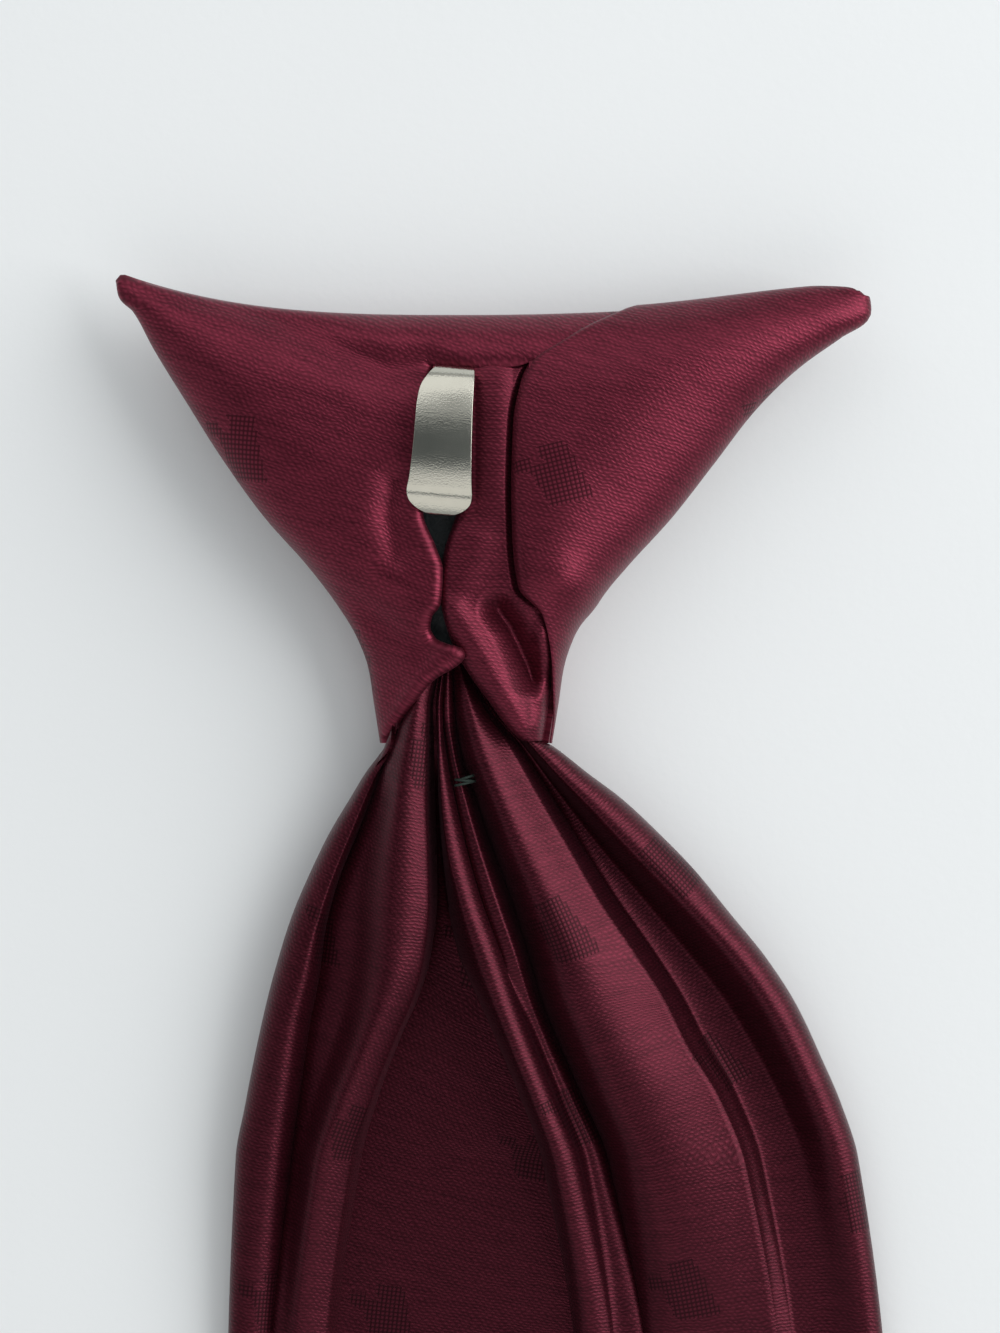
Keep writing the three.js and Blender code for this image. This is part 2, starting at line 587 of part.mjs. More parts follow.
// Height between two pleat knots: flat at each crest and groove.
function betweenKnots(knots, x) {
  const last = knots.length - 1;
  if (x <= knots[0].x) return knots[0].z;
  if (x >= knots[last].x) return knots[last].z;
  let i = 0;
  while (knots[i + 1].x < x) i++;
  return mix(knots[i].z, knots[i + 1].z, smooth((x - knots[i].x) / (knots[i + 1].x - knots[i].x)));
}

function blade() {
  const gathered = [0.02, 0.06, 0.11, 0.17, 0.25, 0.34, 0.44, 0.55, 0.67, 0.8, 0.92, 1.05, 1.25];
  const falling = [0.5, 0.6, 0.73, 0.87, 1];
  const shoulder = -(BLADE_LENGTH - POINT_LENGTH);
  const flat_start = -PLEATS_LENGTH;
  const levels = [
    TUCK_LENGTH,
    TUCK_LENGTH / 2,
    -CLEARANCE,
    ...gathered.map((down) => -down * GATHER_LENGTH),
    ...falling.map((share) => -share * PLEATS_LENGTH),
    ...[0.33, 0.66, 1].map((t) => mix(flat_start, shoulder, t)),
    ...[0.25, 0.5, 0.75, 1].map((t) => mix(shoulder, -BLADE_LENGTH, t)),
  ];
  const sections = levels.map((y) => ({ y, line: bladeSection(y) }));
  const grid = (shift) =>
    sections.map(({ y, line }) =>
      line.map((p) => new THREE.Vector3(p.x + p.out_x * shift, y, p.z + p.out_z * shift)),
    );
  return bodyBetween(grid(CLOTH / 2), grid(-CLOTH / 2));
}

const satin = () => new THREE.MeshStandardMaterial({ color: 0x6b1f33, roughness: 0.45, metalness: 0 });
const nickel = () => new THREE.MeshStandardMaterial({ color: 0xc9c6b8, roughness: 0.25, metalness: 1 });
const plastic = () => new THREE.MeshStandardMaterial({ color: 0x1c2426, roughness: 0.6, metalness: 0 });

function piece(name, geometry, material) {
  const mesh = new THREE.Mesh(geometry, material);
  mesh.name = name;
  return mesh;
}

const knot = new THREE.Group();
knot.add(
  piece("knot_wrap", knotWrap(), satin()),
  piece("centre_flap", centreFlap(), satin()),
  piece("wing_flap", wingFlap(), satin()),
  piece("knot_former", knotFormer(), plastic()),
  piece("clip", clipStrip(), nickel()),
);
const tie = new THREE.Group();
tie.add(knot, piece("blade", blade(), satin()));
const box = new THREE.Box3().setFromObject(tie);
tie.position.set(-(box.min.x + box.max.x) / 2, -(box.min.y + box.max.y) / 2, -box.min.z);

export default tie;
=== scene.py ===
import math
import bpy
import numpy as np
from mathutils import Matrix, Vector


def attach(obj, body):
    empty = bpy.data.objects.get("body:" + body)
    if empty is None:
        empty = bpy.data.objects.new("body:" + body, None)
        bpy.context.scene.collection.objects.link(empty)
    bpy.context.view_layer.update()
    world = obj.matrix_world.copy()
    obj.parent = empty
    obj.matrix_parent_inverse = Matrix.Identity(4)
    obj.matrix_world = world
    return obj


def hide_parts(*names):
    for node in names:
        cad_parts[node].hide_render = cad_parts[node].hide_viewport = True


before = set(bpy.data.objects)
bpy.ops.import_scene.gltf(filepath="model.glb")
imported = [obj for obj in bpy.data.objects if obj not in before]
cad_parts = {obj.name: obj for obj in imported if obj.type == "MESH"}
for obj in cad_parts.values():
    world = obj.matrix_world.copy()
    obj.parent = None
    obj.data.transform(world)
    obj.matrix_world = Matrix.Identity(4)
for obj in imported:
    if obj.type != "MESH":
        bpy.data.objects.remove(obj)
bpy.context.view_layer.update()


# Knot core
# Moulded near-black plastic that fills the knot. It shows in the two small windows of the slit in the
# knot's back, so its solid keeps its own shape and only gets its finish here.
class Wire:
    """One value in a finish, with the arithmetic that the finishes below are written in."""

    def __init__(self, finish, socket):
        self.finish = finish
        self.socket = socket

    def maths(self, operation, *others):
        values = {0: self, **dict(enumerate(others, 1))}
        return self.finish.node("ShaderNodeMath", {"operation": operation}, values)

    def other(self, out):
        """Another output of the node that this value comes from."""
        return Wire(self.finish, self.socket.node.outputs[out])

    def __add__(self, other):
        return self.maths("ADD", other)

    __radd__ = __add__

    def __mul__(self, other):
        return self.maths("MULTIPLY", other)

    def __sub__(self, other):
        return self.maths("SUBTRACT", other)

    def __rsub__(self, other):
        return self.finish.node("ShaderNodeMath", {"operation": "SUBTRACT"}, {0: other, 1: self})

    def __truediv__(self, other):
        return self.maths("DIVIDE", other)

    def above(self, edge, width):
        """0 below edge and 1 above it, with a soft step of that width."""
        settings = {"interpolation_type": "SMOOTHSTEP"}
        sockets = {"Value": self, "From Min": edge - width / 2, "From Max": edge + width / 2}
        return self.finish.node("ShaderNodeMapRange", settings, sockets)

    def wave(self, pitch):
        """0 to 1 and back over each pitch."""
        return (self * (2 * math.pi / pitch)).maths("SINE") * 0.5 + 0.5


class Finish:
    """One procedural material and the nodes that make it."""

    def __init__(self, name):
        self.material = bpy.data.materials.new(name)
        self.material.use_nodes = True
        self.tree = self.material.node_tree
        self.tree.nodes.clear()
        surface = self.node("ShaderNodeBsdfPrincipled", {}, {})
        self.shader = surface.socket.node
        self.node("ShaderNodeOutputMaterial", {}, {"Surface": surface})

    def node(self, kind, settings, sockets, out=0):
        """A node of a kind, with its settings, then the values or links of its sockets."""
        made = self.tree.nodes.new(kind)
        for name, value in settings.items():
            setattr(made, name, value)
        for name, value in sockets.items():
            self.feed(made.inputs[name], value)
        return Wire(self, made.outputs[out]) if len(made.outputs) else None

    def feed(self, socket, value):
        """A link or a plain value for a socket."""
        if isinstance(value, Wire):
            self.tree.links.new(value.socket, socket)
        else:
            socket.default_value = value

    def set(self, **values):
        """Sockets of the shader, by name with _ for a space."""
        for name, value in values.items():
            self.feed(self.shader.inputs[name.replace("_", " ")], value)

    def place(self):
        """Object coordinates, in metres."""
        return self.node("ShaderNodeTexCoord", {}, {}, out=3)

    def grain(self, at, scale, detail=2.0):
        """Soft noise, with a scale in spots to the metre on object coordinates."""
        sockets = {"Vector": at, "Scale": scale, "Detail": detail, "Roughness": 0.5}
        return self.node("ShaderNodeTexNoise", {}, sockets)

    def mapped(self, at, **values):
        """A place turned or stretched."""
        return self.node("ShaderNodeMapping", {}, {"Vector": at, **values})

    def blend(self, share, first, second):
        """Colour between two colours."""
        sockets = {0: share, 6: (*first, 1), 7: (*second, 1)}
        return self.node("ShaderNodeMix", {"data_type": "RGBA"}, sockets, out=2)

    def relief(self, height, depth):
        """Normal from a height of 0 to 1 that stands for a depth in metres."""
        return self.node("ShaderNodeBump", {}, {"Height": height, "Distance": depth, "Strength": 1.0})


core_plastic = Finish("core_plastic")
pebble = core_plastic.grain(core_plastic.place(), 2600, 3)
scuff = core_plastic.grain(core_plastic.place(), 300, 2).above(0.6, 0.2)
core_plastic.set(
    Base_Color=core_plastic.blend(scuff, (0.012, 0.016, 0.018), (0.022, 0.028, 0.03)),
    Roughness=0.42 + scuff * 0.2,
    Normal=core_plastic.relief(pebble, 0.00008),
)
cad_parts["knot_former"].data.materials.clear()
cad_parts["knot_former"].data.materials.append(core_plastic.material)


# Spring clip
# One strip of nickel-plated spring steel: a leg in the core, a bend through the cloth and a bowed
# tongue that presses on the knot's back. Its end is pressed into a rounded lip.
MM = 0.001
THROAT = (-6.355, 195.628)  # middle of the knot's throat in the frame, in millimetres
STEEL = 0.56  # thickness left between the worn edges
WORN_EDGE = 0.14
STRIP_STEPS = 110
CLIP_LEAN = math.radians(4.9)
# along the strip: height up from the throat, height above the surface, left side and right side
CLIP_PATH = [
    (29.5, 11.65, -5.75, -0.35),
    (34.4, 11.65, -5.35, 0.05),
    (39.4, 11.65, -4.9, 0.45),
    (42.2, 11.7, -4.6, 0.7),
    (43.4, 12.4, -4.4, 0.72),
    (43.9, 13.9, -4.1, 0.74),
    (43.7, 15.4, -3.8, 0.76),
    (42.9, 16.5, -4.5, 0.76),
    (41.6, 17.1, -5.4, 0.7),
    (39.6, 17.6, -5.9, 0.6),
    (37.4, 17.92, -6.1, 0.52),
    (35.0, 18.0, -6.3, 0.46),
    (32.4, 17.6, -6.6, 0.44),
    (30.3, 16.95, -6.95, 0.47),
    (29.7, 16.72, -7.1, 0.5),
    (29.4, 16.52, -7.15, 0.52),
    (29.1, 16.47, -7.15, 0.5),
    (28.3, 16.2, -6.95, 0.34),
    (27.6, 15.9, -6.3, -0.25),
    (27.1, 15.65, -5.4, -1.1),
    (26.85, 15.45, -4.3, -2.2),
]


def onto_frame(points):
    """Millimetres from the throat to the frame's metres."""
    moved = np.array(points, float)
    moved[..., 0] += THROAT[0]
    moved[..., 1] += THROAT[1]
    return moved * MM


def smooth_path(points, count):
    """Points spaced evenly on a smooth curve through a few places."""
    places = np.array(points, float)
    lengths = np.r_[0, np.cumsum(np.linalg.norm(np.diff(places, axis=0), axis=1))]
    slopes = np.gradient(places, lengths, axis=0)
    at = np.linspace(0, lengths[-1], count)
    i = np.clip(np.searchsorted(lengths, at, side="right") - 1, 0, len(lengths) - 2)
    span = (lengths[i + 1] - lengths[i])[:, None]
    t = (at - lengths[i])[:, None] / span
    start = places[i] * (1 + 2 * t) * (1 - t) ** 2 + slopes[i] * span * t * (1 - t) ** 2
    end = places[i + 1] * t * t * (3 - 2 * t) - slopes[i + 1] * span * t * t * (1 - t)
    return start + end


strip = smooth_path(CLIP_PATH, STRIP_STEPS)
widths = strip[:, 3] - strip[:, 2]
centres = onto_frame(np.stack([(strip[:, 2] + strip[:, 3]) / 2, strip[:, 0], strip[:, 1]], axis=-1))
first_step = centres[1] - centres[0]
first_middle = (centres[0] + centres[1]) / 2
bpy.ops.object.select_all(action="DESELECT")
bpy.ops.mesh.primitive_plane_add(size=1, location=first_middle, rotation=(0, 0, -CLIP_LEAN))
clip = bpy.context.object
clip.name = "clip_strip"
clip.scale = (widths[0] * MM, np.linalg.norm(first_step), 1)
bpy.ops.object.transform_apply(location=True, rotation=True, scale=True)
bpy.ops.object.mode_set(mode="EDIT")
bpy.ops.mesh.select_all(action="DESELECT")
bpy.ops.mesh.select_mode(type="VERT")
bpy.ops.object.mode_set(mode="OBJECT")
for vertex in clip.data.vertices:
    vertex.select = bool(np.dot(np.array(vertex.co), first_step) > np.dot(first_middle, first_step))
bpy.ops.object.mode_set(mode="EDIT")
bpy.ops.mesh.select_mode(type="EDGE")
for k in range(2, len(strip)):
    move = {"value": tuple(centres[k] - centres[k - 1])}
    bpy.ops.mesh.extrude_region_move(TRANSFORM_OT_translate=move)
    wider = widths[k] / widths[k - 1]
    bpy.ops.transform.resize(value=(wider, wider, 1), center_override=tuple(centres[k]))
bpy.ops.mesh.select_all(action="SELECT")
bpy.ops.mesh.normals_make_consistent(inside=False)
bpy.ops.object.mode_set(mode="OBJECT")
thickness = clip.modifiers.new("steel", "SOLIDIFY")
thickness.thickness = STEEL * MM
thickness.offset = 0
bpy.ops.object.modifier_apply(modifier="steel")
wear = clip.modifiers.new("worn_edges", "BEVEL")
wear.width = WORN_EDGE * MM
wear.segments = 3
wear.limit_method = "ANGLE"
wear.angle_limit = math.radians(40)
bpy.ops.object.modifier_apply(modifier="worn_edges")
bpy.ops.object.shade_smooth_by_angle(angle=math.radians(40))

nickel = Finish("nickel_plate")
steel_place = nickel.place()
drawn_lines = nickel.grain(nickel.mapped(steel_place, Scale=(9000, 500, 500)), 1.0, 3)
haze = nickel.grain(steel_place, 420, 3)
grit = nickel.grain(steel_place, 5200, 1)
nickel.set(
    Base_Color=nickel.blend(haze, (0.51, 0.495, 0.425), (0.59, 0.575, 0.5)),
    Metallic=1.0,
    Roughness=0.13 + haze * 0.08,
    Normal=nickel.relief(drawn_lines * 0.3 + grit * 0.7, 0.000026),
)
clip.data.materials.clear()
clip.data.materials.append(nickel.material)
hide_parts("clip")
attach(clip, "root")


# Knot wrap
# Dark red satin drawn round the core. It makes the face, both sides and the left wing, and its free
# left edge runs down beside the clip to the throat. The top edge is a soft roll.
CLOTH = 0.8  # the wrap's wall, which stands outside its plain form
KNOT_HEIGHT = 50.0
BOXY = 4  # how square a section is: 2 would be an ellipse
BACK_ROLL, FACE_ROLL = 0.8, 0.6  # shares of the height where the back and the face start to close
LIFTED_LOW, LIFTED_HIGH = 9.9, 23  # from the middle to where the wings hang free, at throat and top
# height of the section, then reach and height of its left end and of its right end, edge and back height
KNOT_SECTIONS = [
    (0.0, 9.8, 0.0, 9.0, 0.0, 6.3, 12.7),
    (4.5, 10.5, 4.5, 9.7, 4.3, 6.5, 13.3),
    (9.0, 11.2, 9.0, 10.4, 9.0, 6.8, 14.0),
    (13.0, 12.7, 13.0, 11.7, 13.0, 7.1, 14.6),
    (17.0, 15.3, 17.2, 13.9, 17.0, 7.4, 15.0),
    (21.0, 18.6, 21.5, 17.7, 21.5, 7.5, 15.0),
    (27.0, 23.9, 27.5, 23.2, 27.5, 7.8, 15.0),
    (33.0, 28.9, 34.5, 28.5, 34.3, 8.0, 15.0),
    (38.5, 33.0, 41.0, 33.1, 40.3, 8.1, 14.8),
    (43.5, 36.7, 47.0, 38.2, 45.5, 8.2, 14.4),
    (47.5, 39.3, 51.7, 43.6, 49.5, 8.4, 13.8),
    (49.0, 40.9, 53.3, 46.5, 51.3, 8.4, 13.4),
    (50.0, 41.2, 54.9, 46.3, 53.0, 8.4, 13.2),
]
# the wrap's free left edge: how far along it is at each height
LEFT_EDGE = [
    (0.2, -10.2),
    (3.8, -7.9),
    (7.9, -4.6),
    (10.5, -1.1),
    (10.8, -2.4),
    (11.7, -4.3),
    (13.6, -5.2),
    (15.2, -4.9),
    (16.6, -3.9),
    (20.2, -3.7),
    (22.5, -4.4),
    (26.9, -6.0),
    (31.0, -6.0),
    (40.0, -5.3),
    (45.4, -4.9),
]


def table(rows, column, at):
    """A column of a table as a smooth curve that doesn't overshoot, at one place or many."""
    rows = np.array(rows, float)
    places, values = rows[:, 0], rows[:, column]
    step = np.diff(values) / np.diff(places)
    slope = np.zeros(len(values))
    same = step[1:] * step[:-1] > 0
    slope[1:-1][same] = 2 * (step[1:] * step[:-1])[same] / (step[1:] + step[:-1])[same]
    slope[0], slope[-1] = step[0], step[-1]
    at = np.clip(np.asarray(at, float), places[0], places[-1])
    i = np.clip(np.searchsorted(places, at, side="right") - 1, 0, len(places) - 2)
    span = places[i + 1] - places[i]
    t = (at - places[i]) / span
    start = values[i] * (1 + 2 * t) * (1 - t) ** 2 + slope[i] * span * t * (1 - t) ** 2
    return start + values[i + 1] * t * t * (3 - 2 * t) - slope[i + 1] * span * t * t * (1 - t)


def ease(t):
    """0 to 1 with a soft start and end."""
    t = np.clip(t, 0, 1)
    return t * t * (3 - 2 * t)


def crease(line, width, height, crisp=False):
    """A groove or ridge along a line of points: a function of x and y that gives its height."""
    line = np.array(line, float)
    crisp_round = 0.3

    def raised(x, y):
        nearest = np.full(np.shape(x), np.inf)
        for (ax, ay), (bx, by) in zip(line[:-1], line[1:]):
            run = (bx - ax) ** 2 + (by - ay) ** 2
            t = np.clip(((x - ax) * (bx - ax) + (y - ay) * (by - ay)) / run, 0, 1)
            nearest = np.minimum(nearest, (x - ax - t * (bx - ax)) ** 2 + (y - ay - t * (by - ay)) ** 2)
        if crisp:
            away = np.sqrt(nearest + crisp_round**2) - crisp_round
            return height * np.clip(1 - away / width, 0, 1) ** 1.5
        return height * np.exp(-nearest / width**2)

    return raised


KNOT_CREASES = [
    crease([(-24.2, 50.5), (-16.5, 46.7), (-9.3, 43.7), (-4.6, 44.3)], 2.6, -1.5),
    crease([(-22, 52.5), (-12, 48.3), (-2, 47.6), (10, 47.6), (18, 48.6)], 2.3, 0.5),
    crease([(-8.6, 30.5), (-9.2, 26.5), (-8.4, 22.0)], 2.0, -0.9),
    crease([(-13.5, 17.0), (-8.0, 13.0), (-5.2, 11.4)], 1.9, -0.6),
    crease([(-9.6, 1.5), (-5.6, 7.2), (-3.2, 9.6)], 0.8, 0.3),
    crease([(-2.2, 10.2), (-0.4, 10.9)], 2.0, 0.5),
    crease([(-8.8, -1.0), (-10.8, 14.0)], 3.4, -1.5),
    crease([(-34.0, 47.0), (-20.0, 33.0)], 5.0, 0.5),
]


def closing(place, start):
    """1 up to a share of the knot's height, then down to 0 at the top edge in a soft roll."""
    past = np.clip((place / KNOT_HEIGHT - start) / (1 - start), 0, 1)
    return np.sqrt(np.clip(1 - past**2.5, 0, 1))


def knot_point(place, side, on_back):
    """A point of the knot's plain form. place is the section's height, side is -1 to 1 across it."""
    left = side < 0
    reach = np.where(left, table(KNOT_SECTIONS, 1, place), table(KNOT_SECTIONS, 3, place))
    end = np.where(left, table(KNOT_SECTIONS, 2, place), table(KNOT_SECTIONS, 4, place))
    x = side * reach
    y = place + (end - place) * np.abs(side) ** np.where(left, 3, 2)
    edge = table(KNOT_SECTIONS, 5, place)
    boxy = np.where(left & on_back, BOXY - 1.7 * ease((25 - place) / 9), BOXY)
    rim = np.sqrt(np.clip(1 - np.abs(side) ** boxy, 0, 1))
    if on_back:
        folds = sum(fold(x, y) for fold in KNOT_CREASES)
        z = edge + (table(KNOT_SECTIONS, 6, place) - edge + folds) * closing(place, BACK_ROLL) * rim
    else:
        lifted = LIFTED_LOW + (LIFTED_HIGH - LIFTED_LOW) * (place / KNOT_HEIGHT) ** 0.8
        wing_lift = ease((np.abs(x) - (lifted - 5)) / 5) * np.maximum(0, edge - 3.6)
        z = edge + (CLOTH + wing_lift - edge) * rim * closing(place, FACE_ROLL)
    return np.stack([x, y, z], axis=-1)


def rounding(from_edge, width, drop):
    """How far a cloth's edge turns down: in full at the edge, not at all from a width away."""
    return (1 - np.sqrt(1 - np.clip(1 - from_edge / width, 0, 1) ** 2)) * drop


def knot_back(x, y):
    """Height of the knot's back at a place, without its creases."""
    place = np.clip(y, 0, 47)
    reach = np.where(x < 0, table(KNOT_SECTIONS, 1, place), table(KNOT_SECTIONS, 3, place))
    edge = table(KNOT_SECTIONS, 5, place)
    rim = np.sqrt(np.clip(1 - np.abs(np.clip(x / reach, -1, 1)) ** BOXY, 0, 1))
    return edge + (table(KNOT_SECTIONS, 6, place) - edge) * closing(place, BACK_ROLL) * rim


def cloth_piece(name, points, cloth, skip=None, wall=CLOTH):
    """A cloth from rows of points. cloth holds, for each gap between columns, where its two sides lie
    on the flat cloth in millimetres: rows by gaps by 2 by (across, along)."""
    rows, columns = points.shape[:2]
    index = np.arange(rows * columns).reshape(rows, columns)
    quads = np.stack([index[:-1, :-1], index[:-1, 1:], index[1:, 1:], index[1:, :-1]], axis=-1)
    maps = np.stack([cloth[:-1, :, 0], cloth[:-1, :, 1], cloth[1:, :, 1], cloth[1:, :, 0]], axis=2)
    keep = np.ones(quads.shape[:2], bool) if skip is None else ~skip
    quads, maps = quads[keep], maps[keep]
    mesh = bpy.data.meshes.new(name)
    mesh.from_pydata(onto_frame(points).reshape(-1, 3).tolist(), [], quads.tolist())
    layer = mesh.uv_layers.new(name="Cloth")
    layer.data.foreach_set("uv", maps.astype(np.float32).ravel())
    piece = bpy.data.objects.new(name, mesh)
    bpy.context.collection.objects.link(piece)
    bpy.ops.object.select_all(action="DESELECT")
    piece.select_set(True)
    bpy.context.view_layer.objects.active = piece
    bpy.ops.object.mode_set(mode="EDIT")
    bpy.ops.mesh.select_all(action="SELECT")
    bpy.ops.mesh.remove_doubles(threshold=2e-6)
    bpy.ops.mesh.delete_loose()
    bpy.ops.object.mode_set(mode="OBJECT")
    solid = piece.modifiers.new("wall", "SOLIDIFY")
    solid.thickness = wall * MM
    solid.offset = -1
    bpy.ops.object.modifier_apply(modifier="wall")
    bpy.ops.object.shade_smooth_by_angle(angle=math.radians(60))
    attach(piece, "root")
    return piece


def lengths_along(steps):
    """How far along each row a point lies, from the lengths of the steps between its points."""
    return np.concatenate([np.zeros((len(steps), 1)), np.cumsum(steps, axis=1)], axis=1)


def plain_cloth(points, anchor, heading, turn, start):
    """Where each point lies on the flat cloth, in millimetres: across by its length from the anchor
    column, along by its height, then turned by an angle and moved to a start."""
    run = lengths_along(np.linalg.norm(np.diff(points[..., [0, 2]], axis=1), axis=-1))
    u = points[:, [anchor], 0] + heading * (run - run[:, [anchor]])
    v = points[..., 1]
    cos, sin = math.cos(math.radians(turn)), math.sin(math.radians(turn))
    flat = np.stack([u * cos - v * sin + start[0], u * sin + v * cos + start[1]], axis=-1)
    return np.stack([flat[:, :-1], flat[:, 1:]], axis=2)


PATCH_ACROSS, PATCH_DOWN = 29.0, 23.0  # from one basket-weave patch to the next, in millimetres
YARN = 0.52


def satin(name, twill, painted_sheen, roughness=0.38):
    """Dark red satin with fine twill rows at an angle and small stepped basket-weave patches.

    The third argument scales the whole colour of the piece: a painted sheen and shade for how much of the
    light its floats return on the way that the piece is cut, which paints the knot's pieces lighter and the
    blade darker."""
    finish = Finish(name)
    cloth = finish.node("ShaderNodeUVMap", {"uv_map": "Cloth"}, {})
    u = finish.node("ShaderNodeSeparateXYZ", {}, {"Vector": cloth})
    v = u.other(1)
    # rows of short floats, each row set a little further along, in yarns that vary
    turned = finish.mapped(cloth, Rotation=(0, 0, -math.radians(twill)))
    along = finish.node("ShaderNodeSeparateXYZ", {}, {"Vector": turned})
    aside = along.other(1)
    wander = finish.grain(cloth, 0.45, 2)
    rows = (aside + wander * 0.9).wave(0.42)
    floats = (along + aside * 1.1 + wander * 1.6).wave(0.8)
    stitches = finish.grain(finish.mapped(turned, Scale=(1.7, 5.5, 1)), 1.0, 3)
    slubs = finish.grain(finish.mapped(turned, Scale=(0.2, 1.3, 1)), 1.0, 2)
    # the patches stand in half-drop rows and their edges step by the width of a yarn
    drop = (v / PATCH_DOWN).maths("FLOOR").maths("FLOORED_MODULO", 2.0) * (PATCH_ACROSS / 2)
    step_u = ((u + drop) / YARN).maths("FLOOR") * YARN
    step_v = (v / YARN).maths("FLOOR") * YARN
    in_u = step_u.maths("FLOORED_MODULO", PATCH_ACROSS) - PATCH_ACROSS / 2
    in_v = step_v.maths("FLOORED_MODULO", PATCH_DOWN) - PATCH_DOWN / 2
    lean = in_u + in_v * 0.3

    def block(middle_u, middle_v, half_u, half_v):
        inside_u = 1 - (lean - middle_u).maths("ABSOLUTE").above(half_u, 0.05)
        inside_v = 1 - (in_v - middle_v).maths("ABSOLUTE").above(half_v, 0.05)
        return inside_u * inside_v

    patch = block(0, -0.9, 2.7, 2.7).maths("MAXIMUM", block(1.0, 2.6, 1.7, 1.3))
    patch = patch.maths("MAXIMUM", block(-3.1, 1.7, 1.1, 0.8))
    basket = (u.wave(YARN) * v.wave(YARN)).maths("SQRT")
    plain = 1 - patch
    weave = rows * (0.25 + floats * 0.5) + stitches * 0.45
    height = weave * plain + basket * patch
    ground = rows * (0.08 + floats * 0.4) + stitches * 0.8 + slubs * 0.5 - 0.4
    tone = ground * plain + (basket * 0.75 + stitches * 0.2 - 0.22) * patch
    # both colours of the weave are scaled by the piece's painted sheen: lit and shaded copies of one satin,
    # painted into the colour
    shade = [part * painted_sheen for part in (0.06, 0.0065, 0.014)]
    gleam = [part * painted_sheen for part in (0.27, 0.032, 0.064)]
    finish.set(
        Base_Color=finish.blend(tone, shade, gleam),
        Metallic=0.76,
        Roughness=roughness + stitches * 0.08 + patch * 0.05,
        Sheen_Weight=0.04,
        Sheen_Roughness=0.4,
        Sheen_Tint=(0.85, 0.4, 0.5, 1),
        Specular_IOR_Level=0.3,
        Normal=finish.relief(height, 0.00003),
    )
    return finish.material


SIDE_STEPS, SLIT_STEPS, SLIT_TOP = 56, 10, 44.6
# sections stand close together at the left flap's point, over the slit and in the top roll
tip = (10, 11.2)
roll_start = 47.4
bands = [
    np.linspace(0, tip[0], 38),
    np.linspace(*tip, 12),
    np.linspace(tip[1], SLIT_TOP, 82),
    np.linspace(SLIT_TOP, roll_start, 14),
    np.linspace(roll_start, KNOT_HEIGHT, 16),
]
sections = np.unique(np.concatenate(bands))
turning = (1 - np.cos(np.linspace(0, math.pi, SIDE_STEPS + 1))) / 2
left_reach = table(KNOT_SECTIONS, 1, sections)
right_reach = table(KNOT_SECTIONS, 3, sections)
slit_left = np.maximum(table(LEFT_EDGE, 1, sections) / left_reach, -0.97)
slit_right = np.minimum((7.2 + 3.0 * ease((17.0 - sections) / 3)) / right_reach, 0.97)
to_slit = -1 + (slit_left[:, None] + 1) * turning
over_slit = slit_left[:, None] + (slit_right - slit_left)[:, None] * np.linspace(0, 1, SLIT_STEPS + 1)[1:-1]
from_slit = slit_right[:, None] + (1 - slit_right[:, None]) * turning
sides = np.concatenate([to_slit, over_slit, from_slit], axis=1)
back = knot_point(sections[:, None], sides, True)
face = knot_point(sections[:, None], sides, False)
face[-1] = back[-1]
# the free edge turns down in a small round, and so does the band above the slit
from_edge = back[:, SIDE_STEPS, 0][:, None] - back[:, : SIDE_STEPS + 1, 0]
in_slit = (sections < SLIT_TOP - 0.01)[:, None]
back[:, : SIDE_STEPS + 1, 2] -= in_slit * rounding(from_edge, 0.35, 0.3)
above_slit = np.where(back[..., 1] >= SLIT_TOP - 0.01, back[..., 1] - SLIT_TOP, np.inf)
over_strip = ease((back[..., 0] + 5.6) / 1.2) * ease((9.5 - back[..., 0]) / 3)
back[..., 2] -= over_strip * rounding(above_slit, 1.5, 0.65)
ring = np.concatenate([back, face[:, ::-1][:, 1:]], axis=1)[:, ::-1]
gaps = ring.shape[1] - 1
skip = np.zeros((len(sections) - 1, gaps), bool)
slit_first = gaps - (SIDE_STEPS + SLIT_STEPS)
skip[sections[1:] < SLIT_TOP + 0.01, slit_first : slit_first + SLIT_STEPS] = True
wrap = cloth_piece("wrap_cloth", ring, plain_cloth(ring, gaps - SIDE_STEPS, -1, 8, (3, 4)), skip)
# its third number paints the wrap's satin at full brightness: painted sheen
wrap.data.materials.append(satin("satin_wrap", -12, 0.98))
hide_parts("knot_wrap")


# Centre flap
# The right side's cloth that passes beside the clip. Below the clip it turns into a twisted band that
# runs down to the right side of the throat, with a deep hollow behind it.
# height, free edge, far edge
CENTRE_ROWS = [
    (0.2, 6.4, 8.95),
    (0.5, 6.0, 9.0),
    (2.1, 4.4, 9.3),
    (4.9, 2.4, 9.7),
    (7.9, 0.2, 10.0),
    (11.2, -1.7, 10.1),
    (14.5, -2.8, 9.8),
    (17.9, -3.4, 8.6),
    (22.1, -2.9, 8.4),
    (26.5, -1.5, 8.4),
    (29.5, -0.6, 8.4),
    (34.0, -0.7, 8.5),
    (40.0, -0.8, 8.8),
    (45.0, -0.8, 9.6),
    (47.0, -0.8, 9.8),
]
